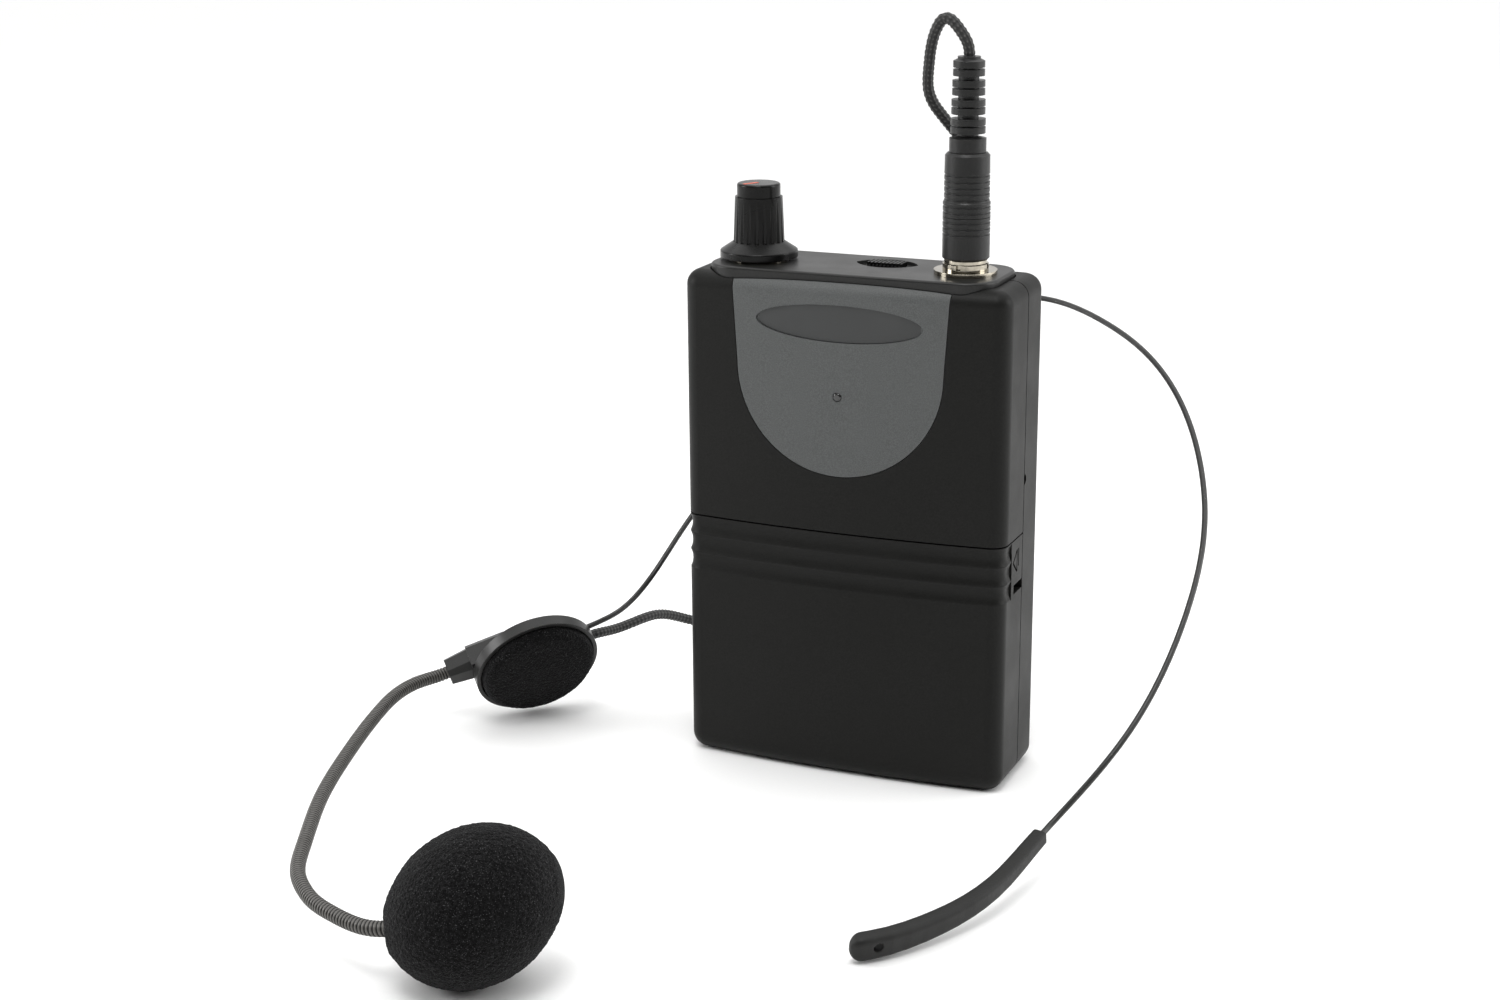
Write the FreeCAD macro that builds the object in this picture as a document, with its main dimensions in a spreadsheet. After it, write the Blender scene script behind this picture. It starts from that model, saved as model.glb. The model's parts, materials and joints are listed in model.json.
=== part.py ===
import FreeCAD, Part
import math
import os
import re
import Sketcher
from FreeCAD import Placement, Rotation, Vector

# A wireless headset microphone and the bodypack transmitter it is plugged into.
#
# Millimetres. +X is the bodypack's right as the wearer's onlooker sees its front, +Y runs to its
# back and +Z up. The origin is the middle of the bodypack's base, which stands on the ground.
# The headset lies around the pack: its ear pad, windscreen and temple tip rest on the ground too.

DOC = FreeCAD.newDocument("headset_microphone")

DIMENSIONS = (
    # case of the bodypack
    ("pack_width", 65.0), ("pack_depth", 25.4), ("shell_height", 97.6), ("wall", 2.0),
    ("front_bulge", 1.9), ("front_round", 3.3), ("rear_round", 4.1), ("top_round", 3.0),
    ("foot_round", 3.3), ("core_round", 0.4), ("seam_y", 1.2), ("door_top", 49.3), ("seam_gap", 0.3),
    ("boss_x", 28.0), ("boss_radius", 2.3), ("boss_low", 55.5), ("boss_high", 82.0),
    ("case_screw_radius", 1.0), ("case_screw_head", 1.9), ("seam_notch_z", 59.7),
    # grey inlay of the front, its blank label and the lamp
    ("inlay_thickness", 0.9), ("inlay_radius", 20.6), ("inlay_centre_z", 81.1),
    ("inlay_top_half", 21.7), ("inlay_gap", 0.15), ("label_z", 89.8), ("label_half", 16.5),
    ("label_half_height", 3.45), ("label_depth", 0.55), ("lamp_z", 75.9), ("lamp_radius", 0.85),
    # top panel
    ("panel_half", 28.5), ("panel_front", -10.7), ("panel_back", 10.15), ("panel_top", 98.8),
    ("panel_corner", 6.0), ("panel_underside", 95.3), ("panel_gap", 0.25),
    # battery door
    ("flute_radius", 4.1), ("flute_depth", 0.4), ("flute_pitch", 3.7), ("flute_first", 47.3),
    ("flute_end_y", -5.7), ("snap_slot_low", 38.5), ("snap_slot_high", 40.3),
    ("snap_slot_front", -4.0), ("mark_depth", 0.4), ("mark_width", 0.45),
    ("hook_width", 8.0), ("hook_thickness", 1.2), ("hook_reach", 1.1),
    # battery bay
    ("cell_radius", 7.15), ("cell_length", 49.2), ("cell_y", -1.6), ("cell_low", 14.6),
    ("cell_pitch", 15.2), ("tray_half", 29.4), ("tray_wall", 1.4),
    # circuit board
    ("board_half", 24.5), ("board_front", 5.0), ("board_thickness", 1.6), ("board_low", 50.8),
    ("board_high", 88.6), ("board_screw_x", 21.5), ("board_screw_low", 53.6),
    ("board_screw_high", 80.5),
    # volume control and its knob
    ("control_x", 20.8), ("control_y", -0.8), ("pot_size", 9.5), ("shaft_radius", 3.0),
    ("shaft_gap", 0.05), ("bushing_radius", 3.5), ("skirt_radius", 7.46), ("skirt_low", 99.3),
    ("skirt_high", 100.6), ("flute_foot", 102.3), ("grip_foot_radius", 4.87),
    ("grip_top_radius", 4.56), ("grip_top", 110.8), ("cap_radius", 4.15), ("cap_top", 113.4),
    # slide switch
    ("switch_x", 4.0), ("switch_y", 2.9), ("switch_half_x", 6.2), ("switch_half_y", 4.15),
    ("switch_dish", 0.7), ("thumb_travel", 1.7),
    # socket and locking plug
    ("socket_bush_radius", 3.0), ("flange_radius", 5.9), ("flange_thickness", 0.8),
    ("ring_radius", 4.3), ("pin_radius", 1.75), ("collar_radius", 4.0), ("collar_low", 100.9),
    ("lock_low", 101.6), ("lock_high", 109.4), ("barrel_radius", 4.2), ("barrel_top", 121.2),
    ("relief_top", 138.5), ("cable_radius", 1.1), ("cable_gap", 0.15),
    # belt clip
    ("clip_width", 20.0), ("clip_thickness", 1.6), ("clip_gap", 5.5), ("clip_low", 26.0),
    ("clip_high", 88.0), ("clip_screw_low", 75.0), ("clip_screw_high", 84.0),
    # headset
    ("pad_radius", 13.0), ("foam_radius", 11.9), ("foam_height", 4.0), ("wire_radius", 0.55),
    ("boom_radius", 1.35), ("ferrule_radius", 1.85), ("capsule_radius", 3.2),
    ("windscreen_length", 30.6), ("windscreen_radius", 12.55), ("capsule_setback", 10.0),
    ("tip_start_width", 2.6), ("tip_start_height", 2.6), ("tip_end_width", 3.1),
    ("tip_end_height", 5.1), ("tip_end_roll", 18.0), ("tip_corner", 0.55), ("tip_end_round", 2.2),
    ("tip_hole_radius", 0.85), ("band_lean", 42.0), ("band_depth", 100.0),
)

# Places of the headset, which lies on the ground around the pack.
PAD_CENTRE = Vector(-67.7, -9.3, 12.3)
PAD_FACING = Vector(0.64, -0.566, -0.516)
PAD_ALONG = Vector(0.765, 0.473, 0.436)
HOLDER_TURN = 10.0
ARCH_START = Vector(-60.7, -0.5, 20.4)
TIP_START = Vector(50.3, -42.5, 8.0)
WINDSCREEN_CENTRE = Vector(-22.0, -114.9, 13.3)
WINDSCREEN_LONG_AXIS = Vector(0.727, 0.475, 0.494)
CAPSULE_AXIS = Vector(0.857, 0.453, 0.244).normalize()

# The headband leaves the ear pad level and then arches; the arch is drawn in its own plane, as
# shares of its span and of its depth.
BAND_LEAVING = (Vector(-58.5, 1.8, 19.4), Vector(-55.0, 2.6, 21.5))
BAND_OUTLINE = ((0.066, 0.11), (0.06, 0.27), (0.075, 0.49), (0.14, 0.75),
                (0.26, 0.945), (0.424, 1.038), (0.552, 1.028), (0.659, 0.99), (0.766, 0.917),
                (0.87, 0.80), (0.949, 0.664), (1.006, 0.481), (1.03, 0.30), (1.022, 0.14))

# The boom sweeps forward and round to the windscreen.
BOOM_COURSE = (Vector(-87.3, -21.4, 10.3), Vector(-86.2, -40.1, 10.6), Vector(-79.6, -62.7, 10.6),
               Vector(-72.9, -82.0, 10.2), Vector(-65.4, -98.5, 9.6), Vector(-60.2, -108.1, 9.1),
               Vector(-56.6, -112.0, 9.0), Vector(-51.9, -115.7, 8.9), Vector(-45.6, -118.7, 8.9),
               Vector(-38.6, -120.9, 9.2))

# The temple tip curls inward along the ground.
TIP_COURSE = (Vector(48.9, -51.5, 6.4), Vector(47.4, -59.1, 5.1), Vector(45.1, -65.9, 4.1),
              Vector(40.0, -75.8, 3.2), Vector(36.4, -81.2, 3.0), Vector(31.2, -86.1, 2.9))

# The cable loops over the plug, drops behind the pack and comes round to the ear pad.
CABLE_COURSE = (Vector(20.7, -0.8, 140.0), Vector(18.9, -0.8, 143.2), Vector(16.1, -0.1, 145.2),
                Vector(13.5, 0.8, 142.0), Vector(12.2, 1.9, 136.6), Vector(11.8, 3.4, 131.0),
                Vector(13.5, 5.8, 126.8), Vector(16.4, 9.4, 121.5), Vector(17.6, 13.6, 114.0),
                Vector(17.2, 17.4, 100.0), Vector(15.0, 19.4, 78.0), Vector(9.0, 24.5, 55.0),
                Vector(-6.0, 31.0, 29.0), Vector(-28.0, 34.0, 13.5), Vector(-50.3, 29.3, 11.9),
                Vector(-54.2, 21.3, 15.3), Vector(-56.1, 15.5, 15.7), Vector(-58.6, 10.0, 15.2))

NODES = {}


# ---------------------------------------------------------------- sheet and bindings

def make_sheet():
    sheet = DOC.addObject("Spreadsheet::Sheet", "Dims")
    for row, (alias, value) in enumerate(DIMENSIONS, start=1):
        sheet.set(f"A{row}", alias)
        sheet.set(f"B{row}", str(value))
        sheet.setAlias(f"B{row}", alias)
    DOC.recompute()
    return sheet


SHEET = make_sheet()
ALIASES = {alias for alias, _ in DIMENSIONS}


def size(alias):
    """The sheet's value of one driving dimension."""
    return float(SHEET.get(alias))


def qualify(text):
    """Write out each alias in an expression as a reference to the sheet."""
    def reference(match):
        word = match.group(0)
        return "Dims." + word if word in ALIASES else word
    return re.sub(r"[a-z_]\w*", reference, str(text))


def bind(item, prop, text):
    item.setExpression(prop, qualify(text))


def bind_place(item, x, y, z):
    for axis, text in zip("xyz", (x, y, z)):
        bind(item, f"Placement.Base.{axis}", text)


def node(name, item):
    """Name a finished sub-part: its label is its node and its file."""
    item.Label = name
    NODES[name] = item
    return item


# ---------------------------------------------------------------- primitives and booleans

def box(name, x_range, y_range, z_range):
    item = DOC.addObject("Part::Box", name)
    for prop, (low, high) in zip(("Length", "Width", "Height"), (x_range, y_range, z_range)):
        bind(item, prop, f"({high}) - ({low})")
    bind_place(item, x_range[0], y_range[0], z_range[0])
    return item


TURNS = {"Z": Rotation(), "X": Rotation(Vector(0, 1, 0), 90), "Y": Rotation(Vector(1, 0, 0), -90)}


def cylinder(name, radius, length, base, axis="Z"):
    item = DOC.addObject("Part::Cylinder", name)
    bind(item, "Radius", radius)
    bind(item, "Height", length)
    item.Placement = Placement(Vector(), TURNS[axis])
    bind_place(item, *base)
    return item


def fuse(name, items):
    item = DOC.addObject("Part::MultiFuse", name)
    item.Shapes = list(items)
    return item


def common(name, base, tool):
    item = DOC.addObject("Part::Common", name)
    item.Base = base
    item.Tool = tool
    return item


def cut(name, base, tools):
    item = DOC.addObject("Part::Cut", name)
    item.Base = base
    item.Tool = tools[0] if len(tools) == 1 else fuse(name + "_tools", tools)
    return item


def group(name, shapes):
    """Several separate solids of one kind in one node, or one solid made by Part functions."""
    item = DOC.addObject("Part::Feature", name)
    item.Shape = shapes[0] if len(shapes) == 1 else Part.makeCompound(shapes)
    return item


# ---------------------------------------------------------------- bodies and sketches

def new_body(name):
    return DOC.addObject("PartDesign::Body", name)


def sketch_on(body, role, offset=0):
    """A sketch on one of the body's own origin planes, moved along the plane's normal."""
    support = next(f for f in body.Origin.OriginFeatures if f.Role == role)
    sketch = body.newObject("Sketcher::SketchObject", body.Name + "_sketch")
    sketch.AttachmentSupport = [(support, "")]
    sketch.MapMode = "FlatFace"
    bind(sketch, "AttachmentOffset.Base.z", offset)
    return sketch


def hold(sketch, geometry, point, x, y):
    """Dimension one point of a sketch from the origin."""
    place = sketch.getPoint(geometry, point)
    for kind, now, text in (("DistanceX", place.x, x), ("DistanceY", place.y, y)):
        index = sketch.addConstraint(Sketcher.Constraint(kind, -1, 1, geometry, point, now))
        bind(sketch, f"Constraints[{index}]", text)


def polygon(sketch, corners):
    """A closed outline of straight lines whose corners are all dimensioned."""
    count = len(corners)
    first = sketch.GeometryCount
    ring = [Vector(math.cos(2 * math.pi * i / count), math.sin(2 * math.pi * i / count), 0)
            for i in range(count)]
    for i in range(count):
        sketch.addGeometry(Part.LineSegment(ring[i], ring[(i + 1) % count]))
    for i in range(count):
        after = first + (i + 1) % count
        sketch.addConstraint(Sketcher.Constraint("Coincident", first + i, 2, after, 1))
    for i, (x, y) in enumerate(corners):
        hold(sketch, first + i, 1, x, y)


def circle(sketch, radius, x=0, y=0):
    index = sketch.addGeometry(Part.Circle(Vector(1, 1, 0), Vector(0, 0, 1), 1))
    ring = sketch.addConstraint(Sketcher.Constraint("Radius", index, 1))
    bind(sketch, f"Constraints[{ring}]", radius)
    hold(sketch, index, 3, x, y)


def pad(body, sketch, length):
    feature = body.newObject("PartDesign::Pad", body.Name + "_pad")
    feature.Profile = sketch
    bind(feature, "Length", length)
    return feature


def plate(name, corners, low, high, role="XY_Plane"):
    """A straight prism of a polygon, between two heights along the plane's normal."""
    body = new_body(name)
    sketch = sketch_on(body, role, low)
    polygon(sketch, corners)
    pad(body, sketch, f"({high}) - ({low})")
    return body


def turned(name, profile, x=None, y=None):
    """A body of revolution about its own upright axis; the profile is (radius, height) pairs."""
    body = new_body(name)
    sketch = sketch_on(body, "XZ_Plane")
    polygon(sketch, profile)
    feature = body.newObject("PartDesign::Revolution", name + "_turn")
    feature.Profile = sketch
    feature.ReferenceAxis = (sketch, ["V_Axis"])
    feature.Angle = 360
    if x is not None:
        bind_place(body, x, y, 0)
    return body


def tube_profile(inner, outer, low, high):
    return ((inner, low), (outer, low), (outer, high), (inner, high))


def dress(body, kind, edges, amount):
    """Fillet or chamfer the body's edges that the test picks."""
    DOC.recompute()
    base = body.Tip
    names = [f"Edge{i}" for i, edge in enumerate(base.Shape.Edges, start=1) if edges(edge)]
    feature = body.newObject("PartDesign::" + kind, f"{body.Name}_{kind.lower()}")
    feature.Base = (base, names)
    bind(feature, "Radius" if kind == "Fillet" else "Size", amount)
    return feature


def upright(edge):
    tops = [vertex.Z for vertex in edge.Vertexes]
    return len(tops) == 2 and abs(tops[0] - tops[1]) > 1.0 and abs(edge.BoundBox.XLength) < 0.01


def level_at(height):
    return lambda edge: abs(edge.BoundBox.ZMin - height) < 0.01 and edge.BoundBox.ZLength < 0.02


# ---------------------------------------------------------------- swept round shapes

def course(points, first=None, last=None):
    """A smooth curve through the points; it may be given its headings at both ends."""
    curve = Part.BSplineCurve()
    if first is None:
        curve.interpolate(list(points))
    else:
        curve.interpolate(Points=list(points), InitialTangent=first, FinalTangent=last)
    return curve


def straight_run(start, heading, *distances):
    """Points along a line, which keep a curve straight inside a bore."""
    return [start + heading * distance for distance in distances]


def swept(curve, radius):
    """A round rod along a curve."""
    edge = curve.toShape()
    start = curve.value(curve.FirstParameter)
    heading = curve.tangent(curve.FirstParameter)[0]
    ring = Part.Wire([Part.makeCircle(radius, start, heading)])
    return Part.Wire([edge]).makePipeShell([ring], True, False)


def axes(origin, along, upward):
    """The placement whose X axis is along and whose Z axis is as near upward as it can be."""
    x = Vector(along).normalize()
    z = Vector(upward) - x * x.dot(upward)
    z.normalize()
    return Placement(origin, Rotation(x, z.cross(x), z, "XZY"))


# ---------------------------------------------------------------- the case

BULGE_RADIUS = "((pack_width ^ 2 / 4 + front_bulge ^ 2) / (2 * front_bulge))"


def crowned_block(name, inset):
    """The case's outer form, or the same form drawn in by a thickness: its front is bowed."""
    body = new_body(name)
    sketch = sketch_on(body, "XY_Plane", inset)
    half = size("pack_width") / 2
    bulge = size("front_bulge")
    radius = (half ** 2 + bulge ** 2) / (2 * bulge)
    rear = size("pack_depth") / 2
    front_side = bulge - rear
    centre = Vector(0, radius - rear, 0)
    spread = math.asin(half / radius)
    down = 1.5 * math.pi
    bow = Part.ArcOfCircle(Part.Circle(centre, Vector(0, 0, 1), radius), down - spread, down + spread)
    sketch.addGeometry(bow)
    sides = (Vector(half, front_side), Vector(half, rear), Vector(-half, rear),
             Vector(-half, front_side))
    for start, end in zip(sides, sides[1:]):
        sketch.addGeometry(Part.LineSegment(start, end))
    for first, second in ((0, 1), (1, 2), (2, 3)):
        sketch.addConstraint(Sketcher.Constraint("Coincident", first, 2, second, 1))
    sketch.addConstraint(Sketcher.Constraint("Coincident", 3, 2, 0, 1))
    ring = sketch.addConstraint(Sketcher.Constraint("Radius", 0, radius))
    bind(sketch, f"Constraints[{ring}]", f"{BULGE_RADIUS} - {inset}")
    hold(sketch, 0, 3, 0, f"{BULGE_RADIUS} - pack_depth / 2")
    hold(sketch, 2, 1, f"pack_width / 2 - {inset}", f"pack_depth / 2 - {inset}")
    hold(sketch, 2, 2, f"{inset} - pack_width / 2", f"pack_depth / 2 - {inset}")
    sketch.addConstraint(Sketcher.Constraint("Vertical", 1))
    sketch.addConstraint(Sketcher.Constraint("Vertical", 3))
    pad(body, sketch, f"shell_height - 2 * {inset}")
    dress(body, "Fillet", lambda e: upright(e) and e.BoundBox.YMin < 0, f"front_round - {inset}")
    dress(body, "Fillet", lambda e: upright(e) and e.BoundBox.YMin > 0, f"rear_round - {inset}")
    drawn_in = 0 if inset == "0" else size(inset)
    top = size("shell_height") - drawn_in
    dress(body, "Fillet", level_at(top), f"top_round - {inset}")
    dress(body, "Fillet", level_at(drawn_in), f"max(foot_round - {inset}; core_round)")
    return body


def rounded_opening(name, grow, low, high):
    """The outline of the top panel, grown all round, between two heights."""
    x, front, back = f"panel_half + {grow}", f"panel_front - {grow}", f"panel_back + {grow}"
    corners = ((f"-({x})", front), (x, front), (x, back), (f"-({x})", back))
    body = plate(name, corners, low, high)
    dress(body, "Fillet", upright, f"panel_corner + {grow}")
    return body


def inlay_prism(name, grow):
    """The inlay's arched outline, run front to back through the front wall."""
    back = f"panel_front - panel_gap - 0.1 + {grow}"
    half, top_half = f"inlay_radius + {grow}", f"inlay_top_half + {grow}"
    corners = ((f"-({half})", "inlay_centre_z"), (half, "inlay_centre_z"),
               (top_half, "shell_height"), (f"-({top_half})", "shell_height"))
    upper = plate(name + "_upper", corners, f"-({back})", "pack_depth", "XZ_Plane")
    lower = cylinder(name + "_lower", half, f"pack_depth + {back}",
                     (0, "-pack_depth", "inlay_centre_z"), "Y")
    return fuse(name, (upper, lower))


def four_places(x, low, high):
    return [(side + x, height) for side in ("-", "") for height in (low, high)]


CASE_BOSSES = four_places("boss_x", "boss_low", "boss_high")
BOARD_SCREWS = four_places("board_screw_x", "board_screw_low", "board_screw_high")
CLIP_SCREWS = ("clip_screw_low", "clip_screw_high")


def front_bosses(name, radius, back, front="1 - pack_depth / 2 + front_bulge"):
    return [cylinder(f"{name}_{i}", radius, f"({back}) - ({front})", (x, front, z), "Y")
            for i, (x, z) in enumerate(CASE_BOSSES)]


def label_prism(name, grow, front, back):
    """An ellipse on the front face, run front to back."""
    item = DOC.addObject("Part::Ellipse", name + "_outline")
    bind(item, "MajorRadius", f"label_half + {grow}")
    bind(item, "MinorRadius", f"label_half_height + {grow}")
    item.Placement = Placement(Vector(), Rotation(Vector(1, 0, 0), 90))
    bind_place(item, 0, back, "label_z")
    run = DOC.addObject("Part::Extrusion", name)
    run.Base = item
    run.DirMode = "Custom"
    run.Dir = Vector(0, -1, 0)
    run.Solid = True
    bind(run, "LengthFwd", f"({back}) - ({front})")
    return run


def case_shells():
    form = crowned_block("case_form", "0")
    core = crowned_block("case_core", "wall")
    under_inlay = crowned_block("under_inlay", "inlay_thickness")
    skin = cut("case_skin", form, [core])
    opening = rounded_opening("panel_opening", "panel_gap", "panel_underside - 1", "shell_height + 5")
    build_front_shell(skin, form, under_inlay, opening)
    build_rear_shell(skin, opening)
    build_door(skin, form)


def build_front_shell(skin, form, under_inlay, opening):
    region = box("front_region", ("-pack_width", "pack_width"),
                 ("-pack_depth", "seam_y - seam_gap / 2"),
                 ("door_top + seam_gap / 2", "shell_height + 5"))
    blank = common("front_blank", skin, region)
    bosses = front_bosses("front_boss", "boss_radius", "seam_y - seam_gap / 2")
    pilots = front_bosses("front_pilot", "case_screw_radius + 0.02", "seam_y + 1",
                          "3 - pack_depth / 2 + front_bulge")
    seat_skin = cut("seat_skin", form, [under_inlay])
    seat = common("inlay_seat", seat_skin, inlay_prism("seat_prism", "inlay_gap"))
    lamp_hole = cylinder("lamp_hole", "1.6", "8", (0, "inlay_thickness - pack_depth / 2", "lamp_z"), "Y")
    solid = fuse("front_solid", [blank] + bosses)
    node("front_shell", cut("front_shell_cut", solid, [seat, opening, lamp_hole] + pilots))
    build_inlay(seat_skin)


def build_inlay(seat_skin):
    """The grey panel let into the front, with a blank oval label in its recess."""
    floor = "label_depth + front_bulge / 6 - pack_depth / 2"
    inlay_skin = common("inlay_skin", seat_skin, inlay_prism("inlay_outline", "0"))
    recess = label_prism("label_recess", "0.1", "-pack_depth", floor)
    lamp_bore = cylinder("lamp_bore", "lamp_radius + 0.05", "pack_depth", (0, "-pack_depth", "lamp_z"), "Y")
    node("inlay_panel", cut("inlay_cut", inlay_skin, [recess, lamp_bore]))
    outline = label_prism("label_prism", "0", "-pack_depth", floor)
    node("label_plate", common("label_common", crowned_block("label_form", "mark_depth"), outline))


def build_rear_shell(skin, opening):
    region = box("rear_region", ("-pack_width", "pack_width"),
                 ("seam_y + seam_gap / 2", "pack_depth"), ("-1", "shell_height + 5"))
    parts = [common("rear_blank", skin, region)]
    bores = [opening]
    inner = "pack_depth / 2 - wall + 0.5"
    seam = "seam_y + seam_gap / 2"
    board_back = "board_front + board_thickness"
    for i, (x, z) in enumerate(CASE_BOSSES):
        parts.append(cylinder(f"rear_boss_{i}", "boss_radius", f"{inner} - ({seam})", (x, seam, z), "Y"))
        bores.append(cylinder(f"rear_bore_{i}", "case_screw_radius + 0.15", "pack_depth", (x, 0, z), "Y"))
        bores.append(cylinder(f"rear_sink_{i}", "case_screw_head + 0.2", "3",
                              (x, "pack_depth / 2 - 1.5", z), "Y"))
    for i, (x, z) in enumerate(BOARD_SCREWS):
        parts.append(cylinder(f"board_boss_{i}", "2.1", f"{inner} - ({board_back})",
                              (x, board_back, z), "Y"))
        bores.append(cylinder(f"board_pilot_{i}", "0.87", "4.2", (x, board_back, z), "Y"))
    for i, z in enumerate(CLIP_SCREWS):
        bores.append(cylinder(f"clip_bore_{i}", "1.27", "10", (0, "5.5", z), "Y"))
        parts.append(cylinder(f"clip_boss_{i}", "2.4", "3.2", (0, "pack_depth / 2 - wall - 2.7", z), "Y"))
    for i, side in enumerate(("", "-")):
        bores.append(cylinder(f"seam_notch_{i}", "1.05", "2",
                              (f"{side}pack_width / 2 - 1", seam, "seam_notch_z"), "X"))
    node("rear_shell", cut("rear_cut", fuse("rear_solid", parts), bores))


def flute_tool(form, number):
    """What one hollow flute takes off the door: a slab less the case's outline, drawn in by an arc."""
    height = size("flute_first") - number * size("flute_pitch")
    radius, depth = size("flute_radius"), size("flute_depth")
    reach = math.sqrt(radius ** 2 - (radius - depth) ** 2) + 0.12
    steps = 5
    sections = []
    for i in range(-steps, steps + 1):
        rise = reach * i / steps
        outline = max(form.Shape.slice(Vector(0, 0, 1), height + rise), key=lambda wire: wire.Length)
        sections.append(outline.makeOffset2D(radius - depth - math.sqrt(radius ** 2 - rise ** 2)))
    core = Part.makeLoft(sections, True, True)
    room = 2 * size("pack_width")
    return Part.makeBox(room, room, 2 * reach, Vector(-room / 2, -room / 2, height - reach)).cut(core)


# The side marks of the door as (y, z): the arrow's corners, and lines as (y, bottom, top).
ARROW_CORNERS = (Vector(-4.5, 44.8), Vector(-2.1, 46.9), Vector(-2.1, 42.6))
SIDE_LINES = ((-1.2, 43.4, 47.0), (-5.7, 37.9, 47.0))
HOOK_STARTS = ("-22", "14")
FLUTES = 3


def door_marks(name, side):
    """The arrow that points to the door's front, the lines beside it and the snap's slot."""
    face = f"{side}pack_width / 2"
    low, high = f"({face}) - mark_depth", f"({face}) + mark_depth"
    tools = []
    for i, (start, end) in enumerate(zip(ARROW_CORNERS, ARROW_CORNERS[1:] + ARROW_CORNERS[:1])):
        run = (end - start).normalize()
        across = Vector(-run.y, run.x) * (size("mark_width") / 2)
        quad = [(p.x, p.y) for p in (start + across, end + across, end - across, start - across)]
        tools.append(plate(f"arrow_{name}_{i}", quad, low, high, "YZ_Plane"))
    for i, (y, bottom, top) in enumerate(SIDE_LINES):
        tools.append(box(f"side_line_{name}_{i}", (low, high),
                         (f"{y} - mark_width / 2", f"{y} + mark_width / 2"), (bottom, top)))
    cut_depth = 1.5
    reach = (f"({face}) - {cut_depth}", f"({face}) + {cut_depth}")
    tools.append(box(f"snap_slot_{name}", reach, ("snap_slot_front", "seam_y + 1"),
                     ("snap_slot_low", "snap_slot_high")))
    return tools


def build_door(skin, form):
    """The lower front of the case, which lifts off forward; two hooks hold its foot."""
    region = box("door_region", ("-pack_width", "pack_width"),
                 ("-pack_depth", "seam_y - seam_gap / 2"), ("-1", "door_top - seam_gap / 2"))
    blank = common("door_blank", skin, region)
    DOC.recompute()
    first, *others = [flute_tool(form, number) for number in range(FLUTES)]
    bars = group("flute_bars", [first.fuse(others)])
    front = box("flute_limit", ("-pack_width", "pack_width"), ("-pack_depth", "flute_end_y"),
                ("0", "pack_width"))
    flutes = common("door_flutes", bars, front)
    hooks = []
    for i, x in enumerate(HOOK_STARTS):
        width = (x, f"{x} + hook_width")
        hooks.append(box(f"door_hook_{i}", width, ("-1", "seam_y + hook_reach * 2"),
                         ("wall + 0.2", "wall + 0.2 + hook_thickness")))
        hooks.append(box(f"hook_root_{i}", width, ("-1", "seam_y - seam_gap / 2 - 0.2"),
                         ("wall - 0.5", "wall + hook_thickness / 2")))
    solid = fuse("door_solid", [blank] + hooks)
    marks = door_marks("right", "") + door_marks("left", "-")
    node("battery_door", cut("door_cut", solid, [flutes] + marks))


# ---------------------------------------------------------------- top panel and its controls

def top_panel():
    panel = rounded_opening("panel_plate", "0", "panel_underside", "panel_top")
    dress(panel, "Fillet", level_at(size("panel_top")), "0.5")
    flange = box("panel_flange", ("-panel_half - 1.5", "panel_half + 1.5"),
                 ("panel_front + 2.4", "panel_back - 1.4"), ("panel_underside - 1", "panel_underside"))
    solid = fuse("panel_solid", [panel, flange])
    down = "panel_underside - 2"
    holes = [cylinder("pot_hole", "bushing_radius + 0.1", "9", ("-control_x", "control_y", down)),
             cylinder("socket_hole", "socket_bush_radius + 0.1", "9", ("control_x", "control_y", down)),
             box("thumb_slot", ("switch_x - thumb_travel - 1.4", "switch_x + thumb_travel + 1.4"),
                 ("switch_y - 1.1", "switch_y + 1.1"), (down, "panel_top + 1"))]
    lens_radius = "((switch_half_x ^ 2 + switch_half_y ^ 2) / (2 * switch_half_y))"
    offset = f"{lens_radius} - switch_half_y"
    discs = [cylinder(f"dish_disc_{i}", lens_radius, "3",
                      ("switch_x", f"switch_y {sign} ({offset})", "panel_top - switch_dish"))
             for i, sign in enumerate("+-")]
    holes.append(common("switch_dish_lens", *discs))
    node("top_panel", cut("panel_cut", solid, holes))


def volume_control():
    at = ("-control_x", "control_y")
    half = "pot_size / 2"
    case = box("pot_case", (f"{at[0]} - {half}", f"{at[0]} + {half}"),
               (f"{at[1]} - {half}", f"{at[1]} + {half}"), ("87.4", "panel_underside - 1.1"))
    bush = cylinder("pot_bush", "bushing_radius", "7", (*at, "94"))
    bore = cylinder("pot_bore", "shaft_radius + shaft_gap", "20", (*at, "89.0"))
    node("pot_body", cut("pot_cut", fuse("pot_solid", [case, bush]), [bore]))
    node("pot_nut", hexagon_nut("nut_prism", at))
    washer = tube_profile("bushing_radius + 0.1", "5.4", "panel_top", "panel_top + 0.4")
    node("pot_washer", turned("pot_washer_ring", washer, *at))
    rod = ((0, 89.2), ("shaft_radius", 89.2), ("shaft_radius", 109.2), (0, 109.2))
    node("pot_shaft", turned("shaft_rod", rod, *at))


def hexagon_nut(name, at):
    corner = 5.2
    nut = new_body(name)
    sketch = sketch_on(nut, "XY_Plane", "panel_top + 0.45")
    polygon(sketch, [(corner * math.cos(i * math.pi / 3), corner * math.sin(i * math.pi / 3))
                     for i in range(6)])
    circle(sketch, "bushing_radius + 0.02")
    pad(nut, sketch, "1.6")
    bind_place(nut, *at, 0)
    return nut


KNOB_FLUTES = 20
POINTER_TURN = -120.0
POINTER_LENGTH = 3.4
POINTER_WIDTH = 0.8
POINTER_FIT = 0.04


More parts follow.
